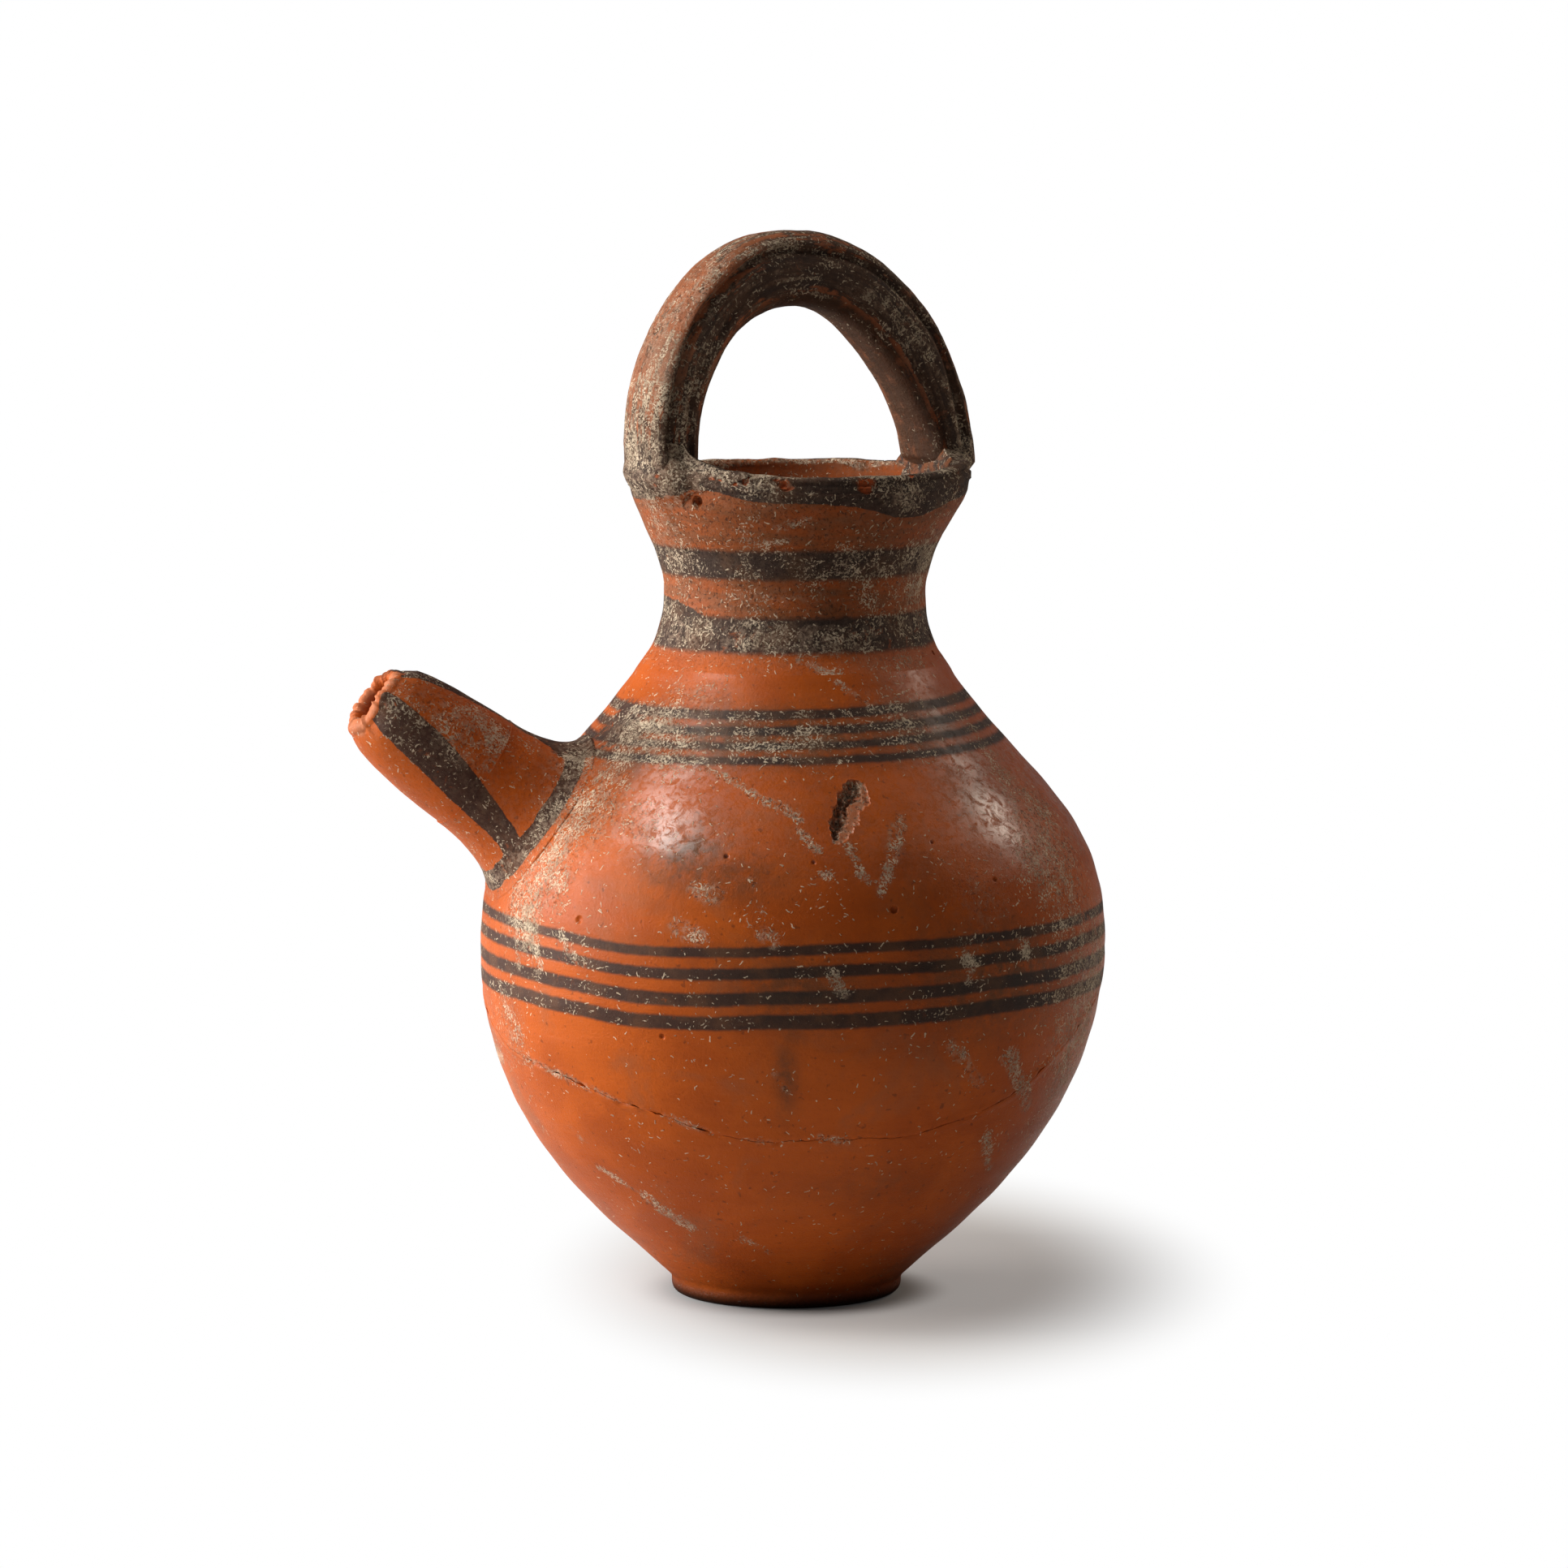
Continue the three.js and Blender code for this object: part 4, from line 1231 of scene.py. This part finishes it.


# How worn and crusted the strap is, and where painted shade darkens it, from its back to its belly and
# from limb to limb.
share_grid = np.broadcast_to(shares[:, None], out_mm.shape)
back_face = limited((out[None, :] + 0.1) / 0.85) * np.ones_like(out_mm)
belly_face = limited((-out[None, :] - 0.55) / 0.35) * np.ones_like(out_mm)
near_limb = limited((share_grid - 0.5) / 0.15)
worn = back_face * (0.34 + 0.40 * near_limb * hump((share_grid - 0.68) / 0.16, 4))
worn = np.maximum(worn, side_face * near_limb * (0.24 + 0.22 * limited((share_grid - 0.78) / 0.1)))
worn = np.maximum(worn, belly_face * (0.5 - 0.1 * (1 - near_limb)))
inner_edge = limited((-out[None, :] - 0.25) / 0.3) * np.ones_like(out_mm)
worn = np.maximum(worn, 0.42 * inner_edge)
to_foot = limited((share_grid - 0.80) / 0.08)
worn = worn * (1 - 0.55 * to_foot)
crusty = 0.25 + 0.14 * back_face * near_limb - 0.19 * belly_face + 0.08 * to_foot
# Crusted spots on the sides of the strap: share of its length, distance from its back, reach along it and
# strength.
handle_spots = (
    (0.375, 9.0, 0.014, 0.95), (0.345, 8.0, 0.010, 0.8), (0.27, 7.5, 0.013, 0.95), (0.245, 6.5, 0.012, 0.9),
    (0.20, 6.0, 0.012, 0.9), (0.175, 5.0, 0.012, 0.9), (0.15, 5.5, 0.012, 0.9), (0.125, 5.0, 0.010, 0.9),
    (0.80, 5.0, 0.015, 0.6), (0.84, 9.0, 0.015, 0.6),
)
for at, from_edge, reach_along, strength in handle_spots:
    spot = hump((share_grid - at) / reach_along) * hump((from_back - from_edge) / 1.5)
    crusty = np.maximum(crusty, strength * spot * side_face)
keep_value(handle, "crust", limited(per_corner(crusty)))
keep_value(handle, "paint", 1 - per_corner(worn))
# Painted shade: the belly face of the strap is darkened, most towards its front and least on the near limb.
# The back face takes a light dark tint of its own. The belly face also counts as inside, which takes off some
# of its paint, roughens it and darkens it further.
to_front = limited(0.5 - 0.62 * across[None, :])
shaded = belly_face * (1 - 0.5 * near_limb) * (0.55 + 1.2 * to_front)
keep_value(handle, "smoke", per_corner(shaded + 0.2 * back_face))
keep_value(handle, "inside", per_corner(0.6 * belly_face))
strap_length = np.concatenate([[0], np.cumsum(np.linalg.norm(np.diff(middle, axis=0), axis=1))])
strap_place = (np.broadcast_to(strap_length[:, None], out_mm.shape), out_mm, across_mm)
strap_place = np.stack([per_corner(part) for part in strap_place], axis=-1)
strap_flow = handle.data.attributes.new("strap place", "FLOAT_VECTOR", "POINT")
strap_flow.data.foreach_set("vector", strap_place.astype(np.float32).ravel())
handle_slip = {"Bright": (0.42, 0.135, 0.055, 1), "Deep": (0.20, 0.066, 0.028, 1),
               "Dull": (0.36, 0.22, 0.145, 1)}
# The handle's smoke and shade tone is near black, for the painted shade on its belly face.
handle_clay = clay_finish("worn dark paint of the handle", slip_colors=handle_slip, coarse=0.4, aged=0.15,
                          flow="strap place", smoke_color=(0.026, 0.014, 0.008, 1))
finished(handle, handle_clay, swell_size=11, swell_depth=0.9, grain_size=1.5, grain_depth=0.16,
         pit_spacing=6, pit_radius=0.7, pit_depth=0.35)
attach(handle, "root")
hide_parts("basket_handle")


# Clay luted round both feet of the handle. Soft clay was thumbed into the corner between strap and rim,
# over the lip and down the outside of the neck, and painted dark with the handle.
luting_foot = 157.2
luting_head = lip_top + 6
luting_rings = 110
luting_columns = 200
smear_thickness = limb_thickness / 2 + 0.9
smear_width = foot_width / 2 + 4
smear_tall = 11.5
smear_drop = 5
smear_lean = math.radians(15)
# Levels from the lip, and how far the clay reaches there to the front, on each side, and to the back.
reach_levels = (luting_foot - lip_top, -12, -8, -6, -4.4, -3, -1, 0, 0.6, 1.2, 2, 3, 4, 6)
spout_front_reach = (3.5, 6.5, 8.6, 9.6, 11.4, 16, 24, 26, 23, 18.5, 14.5, 12.2, 10.4, 8.2)
far_front_reach = (3.5, 6.5, 9.5, 10.2, 12, 16, 24, 26, 24, 18, 11.5, 8.6, 7.7, 6.5)
back_reach = (3.5, 6.5, 8.6, 9.6, 10.0, 10.0, 9.8, 9.4, 9.0, 8.6, 8.2, 7.8, 7.4, 6.8)
# Spots where its paint is rubbed off: azimuth, height and radius.
luting_spots = ((-133, 170.6, 0.8), (-129.5, 170.2, 0.9), (-151, 171.5, 0.5), (-153, 169.2, 0.4))


def smear_face(level, across, side):
    """How far out from the jug's axis the lump of clay pressed over the foot of the strap reaches."""
    up = level - lip_top + smear_drop
    lean, upright = math.sin(smear_lean), math.cos(smear_lean)
    square = (upright / smear_thickness) ** 2 + (lean / smear_tall) ** 2
    slope = 2 * up * lean * upright * (1 / smear_tall ** 2 - 1 / smear_thickness ** 2)
    rest = (up * lean / smear_thickness) ** 2 + (up * upright / smear_tall) ** 2
    rest = rest + (across / smear_width) ** 2 - 1
    root = np.sqrt(np.maximum(slope ** 2 - 4 * square * rest, 0))
    reach = (root - slope) / (2 * square) - 4.0 * limited(rest)
    return lip_middle + foot_spread + handle_offset * min(side, 0) + reach


def luting(name, side, node):
    """The luting clay at one foot. It runs out to nothing down the neck and along the lip."""
    levels = np.linspace(luting_foot, luting_head, luting_rings)[:, None]
    turn = np.linspace(0, math.tau, luting_columns, endpoint=False)[None, :]
    front_reach = spout_front_reach if side < 0 else far_front_reach
    to_front = np.interp(levels - lip_top, reach_levels, front_reach)
    to_back = np.interp(levels - lip_top, reach_levels, back_reach)
    wide = np.where(np.sin(turn) < 0, to_front, to_back)
    neck_face = np.interp(levels, neck_outside[:, 1], neck_outside[:, 0])
    neck_face = np.where(levels < lip_under, neck_face, lip_radius)
    mouth_face = np.interp(levels, neck_inside[::-1, 1], neck_inside[::-1, 0])
    over_lip = np.clip(levels - lip_top + 0.6, 0, 9) ** 0.85
    across = wide * np.sin(turn)
    thin = (1 - np.sin(turn) ** 2) ** 1.5
    grown = limited((levels - luting_foot) / 7)
    plain_out = neck_face - 0.35 * over_lip - 0.35 + 1.0 * grown * thin
    pressed = limited((levels - lip_top + 9) / 9)
    pressed = pressed * pressed * (3 - 2 * pressed)
    lump = plain_out - 0.6 + (smear_face(levels, across, side) + 0.4 - 0.15 * side - plain_out) * pressed
    strap_face = (1 - limited(np.abs(across) / (foot_width / 2)) ** 3) ** (1 / 3) * limb_thickness / 2
    strap_face = strap_face + lip_middle + foot_spread + handle_offset * side
    above = limited((levels - lip_top + 1) / 2)
    over_strap = strap_face + 0.45 - 0.22 * np.clip(levels - lip_top, 0, 6)
    lump = np.maximum(lump, above * over_strap + (1 - above) * lump)
    outer_reach = (plain_out + lump + np.sqrt((plain_out - lump) ** 2 + 0.5)) / 2 - 0.12
    least_reach = np.minimum(outer_reach, neck_face - 0.35 * over_lip - 0.3)
    outer_reach = np.where(thin < 0.02, least_reach, outer_reach)
    inner_reach = mouth_face + 0.35 * over_lip + 0.35 - 1.0 * grown * thin
    reach = np.where(np.cos(turn) > 0, outer_reach, inner_reach)
    spread = across / neck_face
    flat = np.stack([side * reach * np.cos(spread), reach * np.sin(spread)], axis=-1) @ turn_to_handle
    grid = np.concatenate([flat, np.broadcast_to(levels, reach.shape)[..., None]], axis=-1)
    piece = clay_mesh(name, hand_made(with_poles(grid)), False)
    points = corners_of(piece)
    set_corners(piece, points + 0.16 * wandering(points, 4.5, 97))
    azimuth = azimuth_of(points)
    mouth_edge = np.interp(points[:, 2], (160, lip_top, 180), (26, 32.5, 32.5))
    to_mouth = np.hypot(points[:, 0], points[:, 1]) < mouth_edge
    keep_value(piece, "crust", np.where(to_mouth, 0.2, 0.36 + 0.12 * limited((points[:, 2] - 163) / 5)))
    painted = limited((points[:, 2] - rim_paint_edge(azimuth)) / 1.6 + 0.5)
    # Painted shade: the luting's faces towards the mouth are darkened nearly to the smoke and shade tone.
    keep_value(piece, "smoke", np.where(to_mouth, 0.95, 0.0))
    keep_value(piece, "rim_paint", np.where(to_mouth & (side > 0), 0.5, painted))
    bare = np.zeros(len(points))
    for middle, up, size in luting_spots:
        away = np.hypot(turned_from(azimuth, middle) * 0.63, (points[:, 2] - up) * 0.8)
        bare = np.maximum(bare, limited((size - away) / 0.3))
    keep_value(piece, "bare", bare)
    finished(piece, neck_clay, swell_size=8, swell_depth=0.4, grain_size=1.5, grain_depth=0.16,
             pit_spacing=6, pit_radius=0.7, pit_depth=0.3)
    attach(piece, "root")
    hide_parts(node)


luting("luting_spout_side", -1, "handle_luting_spout_side")
luting("luting_far_side", 1, "handle_luting_far_side")


# Spout. A tapering tube rolled round a stick and pushed through a hole in the shoulder. Dark stripes run
# down its sides and its back, and its tip is broken and worn.
spout_length = 41.2
spout_radius = 12.8
spout_tip_radius = 8.7
tip_round = 2.0
tip_bore = 4.9
bore_radius = 8.0
straight_share = 0.2
swell_shares = (0.35, 0.23)
taper_share = 0.6
spout_columns = 220
spout_wall = 1.6
spout_angles = np.arange(spout_columns) * math.tau / spout_columns


def wall_hit(radius, angles, outline):
    """How far out along the spout's axis a line beside it meets the body's surface."""
    low, high = np.full(angles.shape, -45.0), np.full(angles.shape, 25.0)
    for _ in range(40):
        middle = (low + high) / 2
        place = round_spout(middle, radius, angles)
        wall = np.interp(place[..., 2], outline[:, 1], outline[:, 0])
        deep = np.hypot(place[..., 0], place[..., 1]) < wall
        low, high = np.where(deep, middle, low), np.where(deep, high, middle)
    return (low + high) / 2


swell_at = spout_length * straight_share
tip_at = spout_length - tip_round
taper = bezier(
    (swell_at, spout_radius),
    (swell_at + spout_length * swell_shares[0], spout_radius),
    (tip_at - spout_length * swell_shares[1] * (1 - taper_share),
     spout_tip_radius + (spout_radius - spout_tip_radius) * taper_share),
    (tip_at, spout_tip_radius),
)
hollow_curve = body_inside[1:]
outer_foot = wall_hit(spout_radius, spout_angles, climb) - 2.0
spigot_end = wall_hit(spigot_radius - spigot_gap, spout_angles, hollow_curve) + 0.1
bore_end = wall_hit(bore_radius, spout_angles, hollow_curve) + 0.1
row_share = np.linspace(0, 1, 26)[:, None]
foot_rows = outer_foot * (1 - row_share) + swell_at * row_share
taper_out = np.interp(np.linspace(0, 1, 64)[1:], np.linspace(0, 1, len(taper)), taper[:, 0])
taper_radius = np.interp(taper_out, taper[:, 0], taper[:, 1])
tip_turns = np.linspace(0, np.pi / 2, 9)[1:]
mouth_out = (spout_length, spout_length - 0.4, spout_length - 1.2, tip_at - 1.0)
mouth_radii = (tip_bore + 1.1, tip_bore + 0.5, tip_bore + 0.1, tip_bore)
tip_out = tip_at + tip_round * np.sin(tip_turns)
tip_radii = spout_tip_radius - tip_round * (1 - np.cos(tip_turns))
course_out = np.concatenate([taper_out, tip_out, mouth_out])
course_radii = np.concatenate([taper_radius, tip_radii, mouth_radii])
bore_share = np.linspace(0, 1, 34)[1:, None]
bore_out = (tip_at - 1.0) * (1 - bore_share) + bore_end * bore_share
bore_radii = tip_bore + (bore_radius - tip_bore) * limited(bore_share * 1.15)
spout_course = (
    (foot_rows, spout_radius),
    (course_out[:, None], course_radii[:, None]),
    (bore_out, bore_radii),
    (spigot_end[None, :], spigot_radius - spigot_gap),
    ((outer_foot - 1)[None, :], spigot_radius - spigot_gap),
)
spout_grid = np.concatenate([round_spout(out, radius, spout_angles[None, :]) for out, radius in spout_course])
out = (spout_grid - spout_foot) @ spout_way
from_axis = spout_grid - spout_foot - out[..., None] * spout_way
near_tip = limited((out - tip_at + 3.5) / 4)
broken = 1.5 * limited(ragged(spout_angles, 9, 71) + 0.15) + 0.4 * ragged(spout_angles, 60, 72) + 0.3
spout_grid = spout_grid - (near_tip * broken)[..., None] * spout_way
spout_grid = spout_grid - from_axis * (near_tip * 0.05 * (1 + ragged(spout_angles, 13, 73)))[..., None]
spout = clay_mesh("spout_tube", hand_made(spout_grid), True)


def place_on_spout(points):
    """How far out along the spout each point lies, how far from its axis and at how many degrees round it."""
    away = points - spout_foot
    side, up = away @ spout_side, away @ spout_up
    return away @ spout_way, np.hypot(side, up), np.degrees(np.arctan2(up, side))


out, from_middle, angle = place_on_spout(corners_of(spout))
within = from_middle < np.interp(out, (0, tip_at), (bore_radius + spout_wall, tip_bore + spout_wall))


# The side stripes from the root out: how far out, the middle and half the width, in degrees from the side.
side_stripe = ((-4, 4, 17, 25, 39), (-38, -31, -20, -12, -3), (9, 11, 18, 20, 24))
back_stripe = ((-4, 3, 8, 17, 39), (42, 30, 17, 14, 33))
spout_broken = 1.6


def spout_stripes(out, angle):
    """Where the dark stripes of the spout lie: one down each side and one along its back."""
    middle = np.interp(out, side_stripe[0], side_stripe[1])
    half = np.interp(out, side_stripe[0], side_stripe[2])
    one, other = (half - np.abs(turned_from(way_round, middle)) for way_round in (angle, 180 - angle))
    sides = limited(np.maximum(one, other) / 4 + 0.5)
    half = np.interp(out, *back_stripe)
    return np.maximum(sides, limited((half - np.abs(turned_from(angle, 90))) / 5 + 0.5))


broken_edge = spout_length - spout_broken + 0.9 * np.sin(np.radians(angle) * 3 + 1)
broken_edge += 0.5 * np.sin(np.radians(angle) * 8)
stripes = spout_stripes(out, angle) * limited((broken_edge - out) / 0.8)
keep_value(spout, "paint", stripes * (1 - within))
keep_value(spout, "inside", within * 0.6)
crust = 0.24 + 0.42 * hump(turned_from(angle, 30) / 26) * hump((out - 16) / 14)
keep_value(spout, "crust", np.where(within, 0.15, crust))
keep_value(spout, "bare", limited((out - broken_edge) / 0.8 + 0.5))
spout_clay = clay_finish("slip and stripes of the spout", gloss=0.42, coarse=0.18, aged=0.0)
finished(spout, spout_clay, swell_size=10, swell_depth=0.5, grain_size=1.8, grain_depth=0.09,
         pit_spacing=8, pit_radius=0.6, pit_depth=0.2)
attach(spout, "root")
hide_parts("spout")


# Clay luted round the root of the spout, wiped up the tube and out on to the shoulder like the bell of a
# trumpet, with a dark ring painted over it. Its edge has opened a crack against the wall.
bell_radius = 19.5
bell_reach = 14.0
bell_edge = 0.7
bell_rows = 64
bell_ring = (0.735, 0.125)
bell_share = np.linspace(0, 1, bell_rows)[:, None]
edge_out = wall_hit(bell_radius, spout_angles, climb)
start = round_spout(bell_reach, spout_radius + 0.05, spout_angles)
start_turn = round_spout(bell_reach * 0.42, spout_radius + 0.15, spout_angles)
turn_radius = bell_radius * 0.80
end_turn = round_spout(wall_hit(turn_radius, spout_angles, climb) + 1.0, turn_radius, spout_angles)
lip_lift = bell_edge * (0.55 + 0.45 * ragged(spout_angles, 9, 81))
end = round_spout(edge_out + lip_lift, bell_radius, spout_angles)
outer_rows = curved(bell_share[..., None], start, start_turn, end_turn, end)
edge_rows = np.stack([round_spout(edge_out - 0.2, bell_radius + 0.25, spout_angles),
                      round_spout(edge_out - 1.5, bell_radius - 0.3, spout_angles)])
under_out = wall_hit(spout_radius - 1, spout_angles, climb)
under_rows = np.stack([round_spout(under_out - 1.8, spout_radius - 1, spout_angles),
                       round_spout(bell_reach * 0.5 + 0 * under_out, spout_radius - 1, spout_angles),
                       round_spout(bell_reach + 0 * under_out, spout_radius - 0.7, spout_angles)])
bell = clay_mesh("luting_spout_root", hand_made(np.concatenate([outer_rows, edge_rows, under_rows])), True)
points = corners_of(bell)
out, _, angle = place_on_spout(points)
down_bell = np.full((len(points) // len(spout_angles), len(spout_angles)), 1.0)
down_bell[:bell_rows] = bell_share
down_bell = down_bell.ravel() + 0.02 * wandering(points, 3.0, 99)[:, 0]
ring = limited((bell_ring[1] - np.abs(down_bell - bell_ring[0])) / 0.035 + 0.5)
near_top = limited(1.25 * hump(turned_from(angle, 92) / 33))
painted = np.maximum(ring, spout_stripes(out, angle) * limited((0.75 - down_bell) / 0.05))
keep_value(bell, "paint", np.maximum(painted, near_top * limited((down_bell - 0.25) / 0.2)))
above = hump(turned_from(angle, 50) / 42)
keep_value(bell, "crust", 0.26 + 0.14 * ring + 0.24 * above * limited((down_bell - 0.4) / 0.3))
finished(bell, spout_clay, swell_size=9, swell_depth=0.45, grain_size=1.6, grain_depth=0.1,
         pit_spacing=8, pit_radius=0.6, pit_depth=0.25)
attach(bell, "root")
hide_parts("spout_luting_fillet")


# The jug stands on a plain white floor under a plain white sky. Only the camera sees them fully white, so
# that they light the jug little. Close round the foot the floor is painted grey, darkest at the foot, as a
# painted shadow that fades out within an ellipse, and the jug's own shadow falls on it too.
floor_size = 6.0
floor_mesh = bpy.data.meshes.new("floor")
half = floor_size / 2
floor_corners = [(-half, -half, 0), (half, -half, 0), (half, half, 0), (-half, half, 0)]
floor_mesh.from_pydata(floor_corners, [], [(0, 1, 2, 3)])
floor = bpy.data.objects.new("floor", floor_mesh)
bpy.context.collection.objects.link(floor)


def seen_white(tree):
    """1 for the rays that come from the camera, and little for those of a shine."""
    seen = add(tree, "ShaderNodeLightPath")
    return largest(seen["Is Camera Ray"], seen["Is Transmission Ray"], seen["Is Glossy Ray"] * 0.12)


white = bpy.data.materials.new("white floor")
white.use_nodes = True
tree = white.node_tree
tree.nodes.remove(tree.nodes["Principled BSDF"])
shown = seen_white(tree)
spot = add(tree, "ShaderNodeTexCoord")["Object"]
from_foot = vector_step("LENGTH", spot, output="Value")
# Painted shadow: the floor's colour for the camera is grey, and nearly black close round the foot.
painted_shadow_tone = mixed(ramp(from_foot, 0.02, 0.05), (0.05, 0.045, 0.04, 1), (0.55, 0.53, 0.51, 1))
floor_tone = mixed(add(tree, "ShaderNodeLightPath")["Is Camera Ray"], painted_shadow_tone, (0.32, 0.305, 0.29, 1))
plain_floor = add(tree, "ShaderNodeBsdfDiffuse", {"Color": floor_tone})[0]
# The floor's glow for the camera is dimmed close round the foot, as part of the painted shadow.
light = shown * ramp(from_foot, 0.0225, 0.034, 0.02, 0.245)
glow = add(tree, "ShaderNodeEmission", {"Color": (1, 0.96, 0.93, 1), "Strength": light})[0]
lit = add(tree, "ShaderNodeAddShader", {0: plain_floor, 1: glow})[0]
paper = add(tree, "ShaderNodeEmission", {"Color": (1, 1, 1, 1), "Strength": 1.0})[0]
# Outside this ellipse the floor is plain white; inside it the grey painted shadow shows.
shade_place = {"Vector": spot, "Location": (0.0247, 0.0165, 0), "Rotation": (0, 0, math.radians(-14)),
               "Scale": (0.060, 0.108, 1)}
shade = add(tree, "ShaderNodeMapping", shade_place, vector_type="TEXTURE")[0]
covering = ramp(vector_step("LENGTH", shade, output="Value"), 0.5, 1.3) * shown
surface = add(tree, "ShaderNodeMixShader", {0: covering, 1: lit, 2: paper})[0]
surface.to(tree.nodes["Material Output"].inputs["Surface"])
floor_mesh.materials.append(white)

world = bpy.data.worlds.new("white sky")
bpy.context.scene.world = world
world.use_nodes = True
sky = world.node_tree.nodes["Background"].inputs
sky["Color"].default_value = (1, 1, 1, 1)
ramp(seen_white(world.node_tree), 0.0, 1.0, 0.085, 1.0).to(sky["Strength"])


# Camera, where the photograph was taken from.
camera_distance = 1.350
camera_height = 0.257
camera_azimuth = math.radians(-14)
camera_down = math.radians(6.384)
image_size = 1932
focal_length = 8098
axis_column = 977
camera_data = bpy.data.cameras.new("camera")
camera_data.sensor_width = 36
camera_data.lens = camera_data.sensor_width * focal_length / image_size
camera_data.shift_x = (image_size / 2 - axis_column) / image_size
camera = bpy.data.objects.new("camera", camera_data)
bpy.context.collection.objects.link(camera)
look = Vector((-math.sin(camera_azimuth), math.cos(camera_azimuth), 0))
camera.location = -look * camera_distance + Vector((0, 0, camera_height))
camera.rotation_euler = (math.pi / 2 - camera_down, 0, camera_azimuth)
bpy.context.scene.camera = camera


# Three soft lamps: a broad low one on the left, a smaller one above it and a tall narrow one behind on the
# right. All are aimed at the belly.
aim = Vector((0, 0, 0.1))
lamp_distance = 1.0


def softbox(name, azimuth, elevation, size, watts, tint):
    """A soft lamp, placed by degrees round from the camera and above the table."""
    data = bpy.data.lights.new(name, "AREA")
    data.shape = "RECTANGLE"
    data.size, data.size_y = size
    data.energy = watts
    data.color = tint
    lamp = bpy.data.objects.new(name, data)
    bpy.context.collection.objects.link(lamp)
    round_way = camera_azimuth - math.pi / 2 + math.radians(azimuth)
    rise = math.radians(elevation)
    way = Vector((math.cos(round_way) * math.cos(rise), math.sin(round_way) * math.cos(rise), math.sin(rise)))
    lamp.location = aim + way * lamp_distance
    lamp.rotation_euler = way.to_track_quat("Z", "Y").to_euler()


softbox("left softbox", -95, 11, (0.80, 0.36), 16.0, (1, 0.97, 0.94))
softbox("upper left softbox", -80, 51, (0.42, 0.20), 6.2, (1, 0.96, 0.91))
softbox("right softbox", 114, 31, (0.09, 0.34), 2.4, (1, 0.86, 0.72))

bpy.context.scene.view_settings.view_transform = "Standard"
